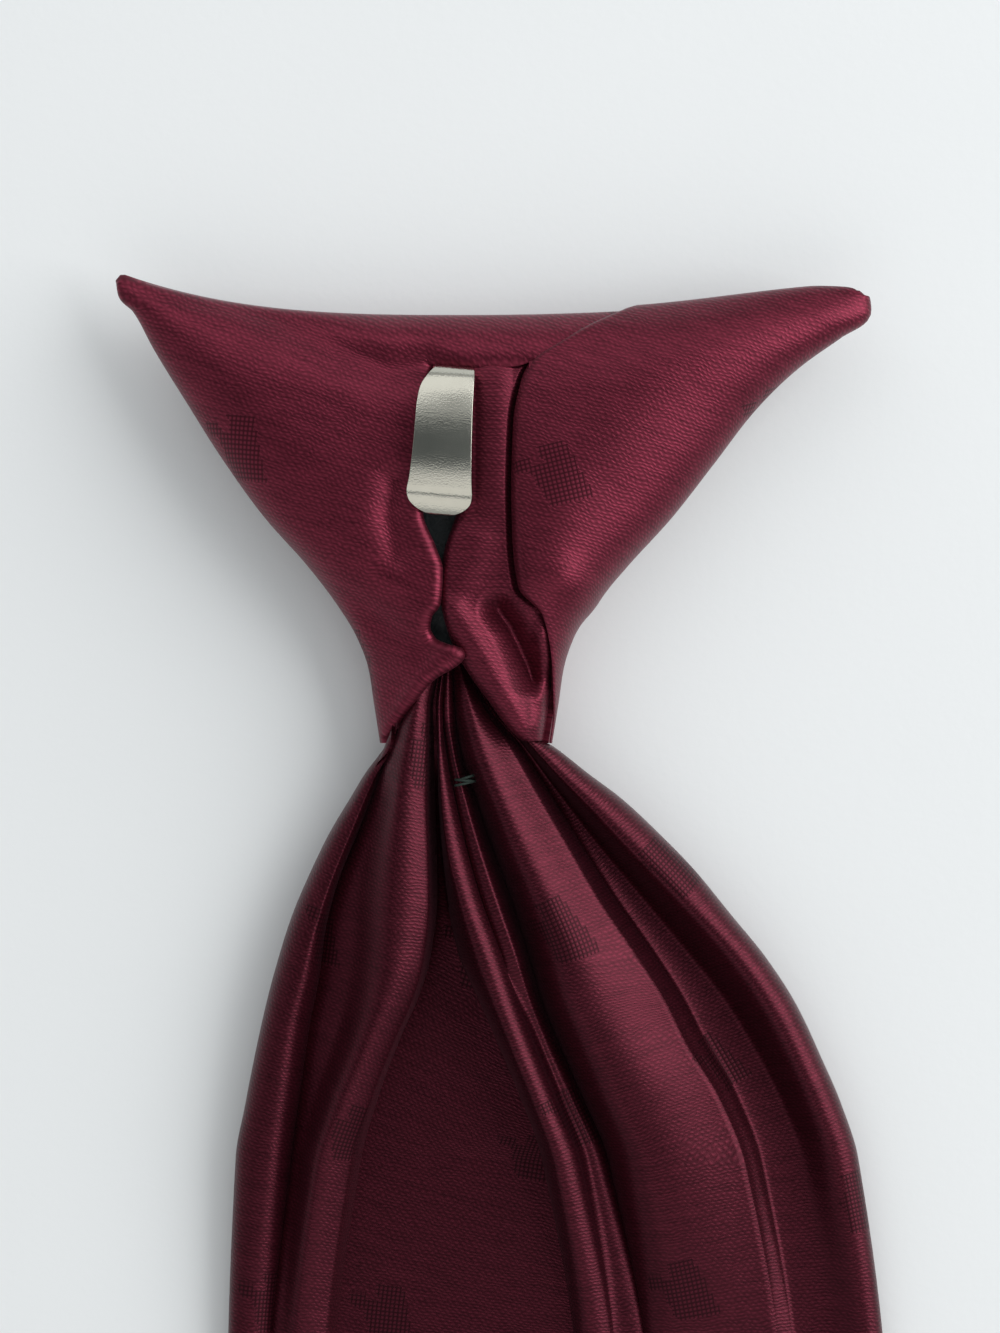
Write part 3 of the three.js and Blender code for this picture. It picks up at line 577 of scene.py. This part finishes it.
# the wing flap's inner edge, which covers this piece's far edge: height, place across
FLAP_EDGE = [
    (0.0, 8.9),
    (3.8, 9.3),
    (9.8, 9.2),
    (13.0, 8.9),
    (15.2, 8.4),
    (18.1, 5.9),
    (23.6, 5.2),
    (29.6, 5.05),
    (37.5, 5.3),
    (41.5, 6.0),
    (44.5, 7.2),
    (47.0, 11.2),
    (49.0, 15.5),
    (50.0, 18.6),
]
FLAP_WALL = 0.5
CENTRE_CREASES = [
    crease([(3.6, 15.6), (5.0, 13.6), (6.0, 11.4), (7.0, 9.0), (7.5, 7.6)], 2.4, -2.7, crisp=True),
    crease([(-1.8, 15.5), (0.4, 12.1), (3.7, 6.2), (7.0, 2.0)], 1.8, 0.9),
    crease([(1.0, 23.5), (-0.6, 19.5)], 2.4, 0.5),
]
rows = np.linspace(0.2, 47.4, 240)[:, None]
shares = np.linspace(0, 1, 68)[None, :]
x = table(CENTRE_ROWS, 1, rows) + (table(CENTRE_ROWS, 2, rows) - table(CENTRE_ROWS, 1, rows)) * shares
y = rows + x * 0
to_flap = table(FLAP_EDGE, 1, rows) - x
under_flap = 0.8 * ease(0.8 - to_flap) * ease((y - 15.5) / 3.0) * ease((47.0 - y) / 4.5)
panel = 0.95 * ease((x - 7.2) / 1.8) * ease((15.5 - y) / 3.0)
under_band = 0.8 * ease((y - 44.1) / 1.2)
plump = 0.45 * np.clip(1 - ((x - 3.1) / 2.2) ** 2, 0, 1) * ease((y - 24) / 6)
pressed = sum(fold(x, y) for fold in CENTRE_CREASES) + plump + panel - np.maximum(under_flap, under_band)
centre = np.stack([x, y, knot_back(x, y) - 0.25 + pressed], axis=-1)
from_edge = x - x[:, :1]
centre[..., 2] -= rounding(from_edge, 1.3, 1.3)
centre_flap = cloth_piece("centre_cloth", centre, plain_cloth(centre, 0, 1, 24, (-7, 12)), wall=FLAP_WALL)
# its third number paints this satin a little darker than the wrap's: painted sheen and shade
centre_flap.data.materials.append(satin("satin_centre", 20, 0.8))
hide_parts("centre_flap")


# Right wing flap
# The cloth folded back over the right wing. Its inner edge is a soft fold that makes a dark groove
# beside the clip, and its outer edge curls round the wing's rim.
FLAP_CREASES = [
    crease([(40.0, 52.5), (24.0, 45.0), (12.0, 33.0), (9.0, 22.0)], 5.0, 0.7),
    crease([(14.5, 15.6), (11.0, 19.5)], 2.2, 0.35),
]
# close together round the inner edge's bend and in the top roll
flap_bands = [np.linspace(0, 16, 44), np.linspace(16, 48, 80), np.linspace(48, KNOT_HEIGHT, 14)]
flap_sections = np.unique(np.concatenate(flap_bands))
TURNS = 84
ROUND_THE_RIM = 0.3  # how far past the wing's edge the flap reaches, as an angle
base = np.zeros((len(flap_sections), TURNS + 1, 3))
for r, section in enumerate(flap_sections):
    inner = table(FLAP_EDGE, 1, section)
    reach = table(KNOT_SECTIONS, 3, section)
    angles = np.linspace(math.acos(min(1, inner / reach)), -ROUND_THE_RIM, TURNS + 1)
    over = knot_point(np.full(TURNS + 1, section), np.cos(angles), True)
    under = knot_point(np.full(TURNS + 1, section), np.cos(angles), False)
    base[r] = np.where(angles[:, None] >= 0, over, under)
outward = np.cross(np.gradient(base, axis=1), np.gradient(base, axis=0))
outward /= np.maximum(np.linalg.norm(outward, axis=-1, keepdims=True), 1e-9)
run = lengths_along(np.linalg.norm(np.diff(base, axis=1), axis=-1))
folded_back = ease((base[..., 1] - 14.5) / 5)
full = 1 - rounding(run, 0.5 + folded_back, 1)
soft = sum(fold(base[..., 0], base[..., 1]) for fold in FLAP_CREASES)
# nearly level near the throat, and a full roll over the cloth further up
lift = 0.85 - 0.55 * folded_back + (0.15 + 0.85 * folded_back) * full + soft * full
flap = base + outward * lift[..., None]
# past the top the cloth turns over the rim and ends on the face
over_rim = np.linspace(0, 1.9, 9)[1:, None, None]
down = np.array([0, 0, -1])
curl = base[-1] + lift[-1][:, None] * (outward[-1] * np.cos(over_rim) + down * np.sin(over_rim))
flap = np.concatenate([flap, curl])
wing_flap = cloth_piece("flap_cloth", flap, plain_cloth(flap, 0, 1, -14, (11, 7)), wall=FLAP_WALL)
# its third number paints this satin a little darker than the wrap's: painted sheen and shade
wing_flap.data.materials.append(satin("satin_flap", -30, 0.88))
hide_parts("wing_flap")


# Blade
# One cloth folded round to its own back and gathered into the throat, where it stands in deep pleats
# that fall flat further down. It ends in a square point.
# distances below the throat: the end inside the knot, the deepest gathers' end, the last pleats in the
# photo, where the pleats lie flat, and the square point
TUCKED_END = -9.6
GATHERED = 51
SEEN_PLEATS = 54
FLAT_PLEATS = 130
POINT_START, POINT_END = 404, 446
DIMPLE = 1.2  # the hollow in the face below the knot, at its deepest
# distance below the throat, then the left and the right outline
OUTLINE = [
    (-9.6, -6.6, 2.2),
    (-4.0, -8.7, 5.6),
    (-0.6, -9.3, 8.2),
    (0.6, -10.0, 10.2),
    (3.8, -12.4, 14.3),
    (6.9, -14.3, 18.4),
    (11.1, -16.8, 22.9),
    (15.2, -18.8, 26.9),
    (20.8, -21.2, 31.5),
    (26.1, -22.9, 35.8),
    (31.7, -24.4, 39.4),
    (38.5, -25.9, 42.6),
    (43.6, -26.9, 44.8),
    (50.2, -28.1, 46.9),
    (81.6, -29.2, 50.7),
    (122.0, -29.2, 51.8),
    (404.0, -30.0, 54.0),
    (446.0, 9.6, 14.4),
]
# each pleat's line: what it is, its kind, the steps to the next line, and its stations as distance below
# the throat, place across and height. A crest is round, a groove is sharp, an edge is a crisp crease,
# and a slope only leads the cloth from one to the next.
PLEATS = [
    ("outer roll", "round", 8, [
        (-9.6, -6.2, 10.2), (-4, -8.0, 10.4), (0.5, -9.0, 9.4), (4.5, -11.4, 8.6), (10.5, -14.0, 8.6),
        (16.4, -16.4, 8.6), (22.4, -18.5, 8.6), (28.3, -20.1, 8.4), (34.3, -21.8, 8.0), (42.6, -23.2, 7.4),
        (50.5, -24.3, 6.8), (80, -27.0, 4.4), (130, -27.4, 3.4)]),
    ("outer groove", "sharp", 10, [
        (-9.6, -5.6, 9.6), (-4, -7.5, 9.2), (1.8, -9.9, 8.0), (6.9, -11.7, 6.8), (12.9, -14.1, 6.2),
        (16.4, -15.5, 6.0), (22.4, -17.1, 5.6), (28.3, -17.9, 5.2), (34.3, -19.1, 4.8), (42.6, -20.3, 4.4),
        (50.5, -21.4, 4.0), (80, -24.3, 3.2), (130, -24.8, 3.0)]),
    ("broad pleat's left", "slope", 12, [
        (-9.6, -5.1, 10.6), (-4, -7.0, 11.0), (2.0, -8.8, 10.6), (6.9, -10.2, 9.4), (12.9, -11.9, 8.6),
        (18.8, -13.2, 8.0), (26.0, -14.0, 7.4), (30.7, -14.8, 7.0), (35.5, -16.0, 6.6), (42.6, -18.2, 6.2),
        (50.5, -20.2, 5.4), (80, -22.8, 3.9), (130, -23.0, 3.1)]),
    ("broad pleat", "round", 10, [
        (-9.6, -4.6, 11.0), (-4, -6.2, 11.9), (2.0, -7.2, 12.2), (6.9, -7.9, 12.2), (12.9, -8.4, 12.2),
        (18.8, -8.8, 12.0), (26.0, -9.2, 11.6), (30.7, -10.2, 11.2), (35.5, -12.0, 10.6), (42.6, -14.9, 9.8),
        (50.5, -17.6, 8.6), (80, -20.9, 4.6), (130, -21.0, 3.2)]),
    ("broad pleat's edge", "slope", 10, [
        (-9.6, -3.6, 10.6), (-4, -4.9, 11.2), (1.0, -5.0, 11.2), (6.9, -5.1, 11.0), (12.9, -4.9, 10.8),
        (18.8, -4.8, 10.5), (26.0, -5.5, 9.8), (30.7, -6.8, 9.3), (35.5, -8.9, 8.7), (42.6, -11.7, 8.0),
        (50.5, -14.2, 7.0), (80, -17.8, 4.0), (130, -17.8, 3.1)]),
    ("deep groove's left", "sharp", 12, [
        (-9.6, -3.2, 9.0), (-4, -4.2, 7.6), (1.0, -4.15, 4.6), (6.9, -4.05, 3.0), (12.9, -3.9, 2.5),
        (18.8, -3.8, 2.2), (26.0, -4.6, 2.0), (30.7, -6.0, 1.9), (35.5, -8.1, 1.9), (42.6, -10.8, 1.9),
        (50.5, -13.0, 2.0), (80, -16.4, 2.4), (130, -16.4, 2.8)]),
    ("deep groove's right", "sharp", 8, [
        (-9.6, -3.0, 9.0), (-4, -3.9, 7.6), (1.0, -3.8, 4.6), (6.9, -3.7, 3.2), (12.9, -3.3, 2.8),
        (18.8, -2.7, 2.6), (26.0, -1.2, 2.4), (30.7, 0.9, 2.3), (35.5, 3.0, 2.3), (42.6, 6.0, 2.3),
        (50.5, 8.8, 2.4), (80, 13.2, 2.6), (130, 13.6, 2.9)]),
    ("seam fold", "round", 12, [
        (-9.6, -2.85, 10.4), (-4, -3.5, 11.0), (1.0, -3.45, 10.9), (6.9, -3.1, 10.8), (12.9, -2.3, 10.9),
        (18.8, -0.7, 10.9), (24.8, 1.4, 10.8), (30.7, 3.4, 10.4), (36.0, 5.4, 10.0), (42.6, 8.0, 9.3),
        (50.5, 10.8, 8.3), (80, 15.4, 4.6), (130, 15.8, 3.3)]),
    ("crack beside the seam fold", "sharp", 8, [
        (-9.6, -2.65, 9.8), (-4, -3.1, 10.0), (1.0, -2.6, 9.6), (6.9, -1.5, 9.2), (12.9, -0.1, 9.1),
        (18.8, 1.6, 9.0), (24.8, 3.8, 8.8), (30.7, 5.8, 8.4), (36.0, 7.8, 7.9), (42.6, 10.4, 7.2),
        (50.5, 13.4, 6.2), (80, 18.0, 3.6), (130, 18.4, 3.1)]),
    ("thin pleat", "round", 8, [
        (-9.6, -2.4, 10.6), (-4, -2.6, 10.8), (1.0, -1.9, 10.4), (6.9, -0.5, 10.0), (12.9, 1.2, 9.9),
        (18.8, 3.1, 9.7), (24.8, 5.2, 9.2), (30.7, 7.0, 7.8), (36.0, 8.9, 6.4), (42.6, 11.6, 5.6),
        (50.5, 14.8, 4.8), (80, 19.6, 3.4), (130, 20.0, 3.2)]),
    ("groove beside the thin pleat", "sharp", 10, [
        (-9.6, -1.9, 9.6), (-4, -1.6, 9.4), (1.0, -1.0, 7.6), (6.9, 0.9, 5.8), (12.9, 2.9, 4.9),
        (18.8, 5.0, 4.4), (24.8, 6.9, 4.0), (30.7, 8.6, 3.7), (36.0, 10.7, 3.5), (42.6, 13.6, 3.4),
        (50.5, 16.8, 3.3), (80, 21.8, 3.1), (130, 22.4, 3.0)]),
    ("full pleat", "round", 16, [
        (-9.6, -1.2, 10.8), (-4, 0.2, 12.0), (0.2, 1.2, 12.4), (5.7, 3.2, 12.4), (12.9, 6.2, 12.2),
        (18.8, 8.9, 12.0), (24.8, 11.4, 11.8), (30.7, 13.0, 11.4), (36.0, 15.5, 10.8), (42.6, 18.3, 10.0),
        (50.5, 21.8, 9.2), (80, 27.2, 4.8), (130, 28.0, 3.4)]),
    ("crisp crease", "edge", 10, [
        (-9.6, -0.6, 10.1), (-4, 1.9, 10.6), (0.2, 4.8, 10.2), (5.7, 8.0, 9.5), (12.9, 12.2, 9.0),
        (18.8, 15.6, 8.8), (24.8, 19.6, 8.5), (30.7, 23.3, 8.1), (36.0, 25.9, 7.7), (42.6, 29.9, 7.3),
        (50.5, 33.0, 6.8), (80, 37.6, 3.9), (130, 38.2, 3.1)]),
    ("valley's near side", "sharp", 10, [
        (-9.6, -0.3, 9.6), (-4, 2.3, 9.4), (0.2, 5.8, 7.8), (5.7, 9.4, 5.6), (12.9, 13.9, 4.6),
        (18.8, 17.6, 4.3), (24.8, 21.8, 4.1), (30.7, 25.6, 4.0), (36.0, 28.4, 3.9), (42.6, 32.2, 3.9),
        (50.5, 35.2, 3.8), (80, 39.8, 3.1), (130, 40.6, 3.0)]),
    ("valley's far side", "round", 12, [
        (-9.6, -0.1, 9.4), (-4, 2.6, 9.0), (0.2, 6.3, 7.2), (5.7, 10.4, 5.0), (12.9, 15.8, 4.0),
        (18.8, 20.6, 3.7), (24.8, 25.4, 3.5), (30.7, 30.0, 3.4), (36.0, 33.3, 3.4), (42.6, 36.8, 3.4),
        (50.5, 39.6, 3.4), (80, 43.8, 3.0), (130, 44.4, 3.0)]),
    ("right roll", "round", 8, [
        (-9.6, 0.6, 10.0), (-4, 4.0, 11.2), (0.2, 7.4, 10.2), (3.9, 10.8, 9.8), (8.1, 15.0, 9.6),
        (12.9, 19.6, 9.4), (18.8, 25.4, 9.2), (24.8, 31.0, 9.0), (30.7, 35.3, 8.7), (36.0, 38.2, 8.2),
        (42.6, 41.2, 7.7), (50.5, 44.0, 6.8), (80, 48.4, 4.4), (130, 49.6, 3.4)]),
]
ROLL_STEPS, FACE_STEPS = 12, 44
WEAVE_FROM = 30  # distance below the throat at which each crest takes its place on the flat cloth
# from and to a distance below the throat, with the number of rows
stretches = [
    (TUCKED_END, SEEN_PLEATS, 120),
    (SEEN_PLEATS, FLAT_PLEATS, 22),
    (FLAT_PLEATS, POINT_START, 14),
    (POINT_START, POINT_END, 10),
]
distances = np.unique(np.concatenate([np.linspace(*stretch) for stretch in stretches]))
left_edge = table(OUTLINE, 1, distances)
right_edge = table(OUTLINE, 2, distances)
# for each pleat's line, its place across and its height at each distance
lines = np.array([[table(line, 1, distances), table(line, 2, distances)] for _, _, _, line in PLEATS])
# past the last station the pleats keep their share of the width
last = int(np.searchsorted(distances, FLAT_PLEATS))
share = (lines[:, 0, last] - left_edge[last]) / (right_edge[last] - left_edge[last])
far = distances > FLAT_PLEATS
lines[:, 0, far] = left_edge[far] + share[:, None] * (right_edge - left_edge)[far]
# 1 inside the knot and 0 from 8 mm below the throat
tucked = ease(1 - (distances + 1.0) / 9.0)


def face_height(x, r):
    """Height of the blade's face: flat on the surface, dimpled below the knot and lifted inside it."""
    middle = (left_edge[r] + right_edge[r]) / 2
    half_width = (right_edge[r] - left_edge[r]) / 2
    hollow = np.exp(-(((x - middle) / (0.3 * half_width)) ** 2))
    dimple = DIMPLE * hollow * ease(1.6 - distances[r] / GATHERED)
    inside = 2.2 + 2.4 * ease((np.abs(x) - 3.0) / 5.0)
    return dimple * (1 - tucked[r]) ** 2 + inside * tucked[r]


def roll(crest, low, edge, turn):
    """The blade's rolled side between the face and its outer crest, as places across and heights."""
    x, z = crest
    return x + (edge - x) * np.sin(turn), (z + low) / 2 - (z - low) / 2 * np.cos(turn)


def crest_curve(t):
    """From a round crest down to a sharp groove, 0 to 1."""
    return 0.55 * t**2 + 0.45 * (1 - np.sqrt(1 - t**2))


def leaning(k, rises):
    """How steeply the cloth lies at a pleat's line, or None where it's free."""
    if PLEATS[k][1] == "round":
        return 0.0
    if PLEATS[k][1] in ("slope", "edge"):
        before, after = rises[k - 1], rises[k]
        return 2 * before * after / (before + after) if before * after > 0 else 0.0
    return None


def between_lines(k, rises, t):
    """How the cloth's height goes from one pleat's line to the next, 0 to 1."""
    first, second = PLEATS[k][1], PLEATS[k + 1][1]
    if (first, second) == ("round", "sharp"):
        return crest_curve(t)
    if (first, second) == ("sharp", "round"):
        return 1 - crest_curve(1 - t)
    # a slope keeps the direction of the cloth on both its sides, and an edge breaks it
    rise = [None if first == "edge" else leaning(k, rises), leaning(k + 1, rises)]
    if second == "edge":
        rise[1] = rises[k]
    entry, leave = [1.6 if lean is None else lean / (rises[k] or 1) for lean in rise]
    return ease(t) + np.clip(entry, 0, 2.4) * t * (1 - t) ** 2 - np.clip(leave, 0, 2.4) * t * t * (1 - t)


blade_rows = []
face_side = np.linspace(0, 1, FACE_STEPS + 1)[1:]
for r, distance in enumerate(distances):
    first_crest, last_crest = lines[0, :, r], lines[-1, :, r]
    low = face_height(np.array([first_crest[0], last_crest[0]]), r)
    parts = [roll(first_crest, low[0], left_edge[r], np.linspace(0, math.pi, ROLL_STEPS + 1)[:-1])]
    rises = np.diff(lines[:, 1, r]) / np.maximum(np.diff(lines[:, 0, r]), 0.02)
    for k in range(len(PLEATS) - 1):
        t = np.linspace(0, 1, PLEATS[k][2] + 1)[:-1]
        (x0, z0), (x1, z1) = lines[k, :, r], lines[k + 1, :, r]
        parts.append((x0 + (x1 - x0) * t, z0 + (z1 - z0) * between_lines(k, rises, t)))
    parts.append((last_crest[:1], last_crest[1:]))
    parts.append(roll(last_crest, low[1], right_edge[r], np.linspace(math.pi, 0, ROLL_STEPS + 1)[1:]))
    face_x = last_crest[0] + (first_crest[0] - last_crest[0]) * face_side
    parts.append((face_x, face_height(face_x, r)))
    across, heights = [np.concatenate(values) for values in zip(*parts)]
    blade_rows.append(np.stack([across, np.full(len(across), -distance), heights], axis=-1))
blade_points = np.array(blade_rows)
# each fold carries the cloth that runs along its own crest, so the weave follows the fold
columns = blade_points.shape[1]
owner = np.zeros(columns - 1, int)
start = ROLL_STEPS
crest_column = []
for k, pleat in enumerate(PLEATS):
    crest_column.append(start)
    if k < len(PLEATS) - 1:
        sharp_here = pleat[1] == "sharp"
        next_sharp = PLEATS[k + 1][1] == "sharp"
        owner[start : start + pleat[2]] = k + 1 if sharp_here and not next_sharp else k
        start += pleat[2]
owner[start:] = len(PLEATS) - 1
arc = lengths_along(np.linalg.norm(np.diff(blade_points[..., [0, 2]], axis=1), axis=-1))
pleat_runs = lengths_along(np.hypot(np.diff(lines[:, 0], axis=1), np.diff(distances)))
slant = np.gradient(lines[:, 0], distances, axis=1)
crests_at = arc[int(np.searchsorted(distances, WEAVE_FROM))]
cloth = np.zeros((len(distances), columns - 1, 2, 2))
for c in range(columns - 1):
    k = owner[c]
    lean = 1 / np.sqrt(1 + slant[k] ** 2)
    for end in (0, 1):
        away = arc[:, c + end] - arc[:, crest_column[k]]
        shift = blade_points[:, c + end, 0] - lines[k, 0]
        cloth[:, c, end, 0] = crests_at[crest_column[k]] + away * lean
        cloth[:, c, end, 1] = -(pleat_runs[k] + shift * slant[k] * lean)
blade = cloth_piece("blade_cloth", blade_points[:, ::-1], cloth[:, ::-1, ::-1], wall=0.6)
# its third number paints the blade's satin at under half the wrap's brightness: painted shade
blade.data.materials.append(satin("satin_blade", -6, 0.44, 0.34))
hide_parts("blade")


# Pleat tack
# A few turns of dark thread that hold the thin pleat against the full pleat just below the throat.
TACK_PLACE = (-0.35, -4.5, 9.7)
THREAD = 0.3
# how far each loop is from the tack's middle, its tilt and its radius
TACK_LOOPS = [
    (-0.36, 0.22, 1.12),
    (0.0, -0.08, 1.2),
    (0.33, 0.3, 1.05),
]
tack_turns = []
for away, tilt, radius in TACK_LOOPS:
    turn_place = onto_frame([[TACK_PLACE[0] + away * 0.3, TACK_PLACE[1] + away, TACK_PLACE[2]]])[0]
    bpy.ops.mesh.primitive_torus_add(
        major_radius=radius * MM,
        minor_radius=THREAD / 2 * MM,
        major_segments=32,
        minor_segments=8,
        location=turn_place,
        rotation=(math.radians(90), 0.3, tilt),
    )
    tack_turns.append(bpy.context.object)
bpy.ops.object.select_all(action="DESELECT")
for loop in tack_turns:
    loop.select_set(True)
bpy.context.view_layer.objects.active = tack_turns[0]
bpy.ops.object.join()
tack = bpy.context.object
tack.name = "pleat_tack"
bpy.ops.object.transform_apply(location=True, rotation=True, scale=True)
bpy.ops.object.shade_smooth()
thread = Finish("dark_thread")
ply = thread.grain(thread.place(), 5200, 2)
thread.set(
    Base_Color=thread.blend(ply, (0.006, 0.014, 0.01), (0.02, 0.038, 0.03)),
    Roughness=0.7 + ply * 0.15,
    Normal=thread.relief(ply, 0.00004),
)
tack.data.materials.append(thread.material)
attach(tack, "root")


# Surface, light and camera
# A plain pale laminate top, lit by a wide window on the right and the light that two walls return, and
# a camera that looks straight down on the knot. The top lies a hair below the cloth.
bpy.ops.object.select_all(action="DESELECT")
bpy.ops.mesh.primitive_grid_add(x_subdivisions=2, y_subdivisions=2, size=3.0, location=(0, 0, -0.05 * MM))
table_top = bpy.context.object
table_top.name = "table_top"
bpy.ops.object.transform_apply(location=True, rotation=True, scale=True)
laminate = Finish("pale_laminate")
mottle = laminate.grain(laminate.place(), 14, 3)
laminate.set(
    Base_Color=laminate.blend(mottle, (0.77, 0.79, 0.795), (0.8, 0.82, 0.825)),
    Roughness=0.55,
    Normal=laminate.relief(laminate.grain(laminate.place(), 900, 2), 0.00002),
)
table_top.data.materials.append(laminate.material)
KNOT_PLACE = Vector((0.0, 0.2, 0.0))


def soft_light(name, place, size, power, colour):
    """A rectangle of soft light aimed at the knot."""
    lamp = bpy.data.lights.new(name, "AREA")
    lamp.shape = "RECTANGLE"
    lamp.size, lamp.size_y = size
    lamp.energy = power
    lamp.color = colour
    holder = bpy.data.objects.new(name, lamp)
    bpy.context.collection.objects.link(holder)
    holder.location = place
    holder.rotation_euler = (KNOT_PLACE - Vector(place)).to_track_quat("-Z", "Y").to_euler()


soft_light("window", (1.0, 0.5, 0.68), (1.3, 1.1), 15.5, (1.0, 1.0, 1.0))
soft_light("far_wall", (-0.2, 1.0, 0.7), (1.3, 0.7), 2.0, (1.0, 1.0, 1.0))
soft_light("near_wall", (0.0, -0.55, 0.75), (1.2, 0.6), 1.15, (1.0, 0.97, 0.93))
world = bpy.data.worlds.new("room")
bpy.context.scene.world = world
world.use_nodes = True
room = world.node_tree.nodes["Background"]
room.inputs["Color"].default_value = (0.95, 0.98, 1.0, 1)
room.inputs["Strength"].default_value = 0.5

# a dark grey card overhead gives the steel and the satin their dark reflections and throws no shadow
bpy.ops.object.select_all(action="DESELECT")
bpy.ops.mesh.primitive_plane_add(size=1, location=(-0.2, 0.2, 0.55))
card = bpy.context.object
card.name = "overhead_card"
card.scale = (1.0, 0.4, 1)
bpy.ops.object.transform_apply(location=True, rotation=True, scale=True)
grey_card = Finish("grey_card")
grey_card.set(Base_Color=(0.14, 0.15, 0.155, 1), Roughness=0.9)
card.data.materials.append(grey_card.material)
card.visible_diffuse = False
card.visible_shadow = False
bpy.context.scene.view_settings.view_transform = "Standard"
bpy.context.scene.view_settings.look = "None"

camera = bpy.data.cameras.new("camera")
camera.sensor_width = 36
camera.sensor_fit = "AUTO"
CAMERA_HEIGHT = 0.40
FOCUS_HEIGHT = 0.008  # level at which the view's height is measured
VIEW_TALL = 1333 / 8.4 * MM  # the image's height in pixels, at 8.4 to the millimetre
camera.lens = camera.sensor_width * (CAMERA_HEIGHT - FOCUS_HEIGHT) / VIEW_TALL
camera.clip_start = 0.01
viewer = bpy.data.objects.new("camera", camera)
bpy.context.collection.objects.link(viewer)
VIEW_MIDDLE = (3.75, 8.99)
aim = onto_frame([[*VIEW_MIDDLE, 0]])[0]
viewer.location = (aim[0], aim[1], CAMERA_HEIGHT)
bpy.context.scene.camera = viewer
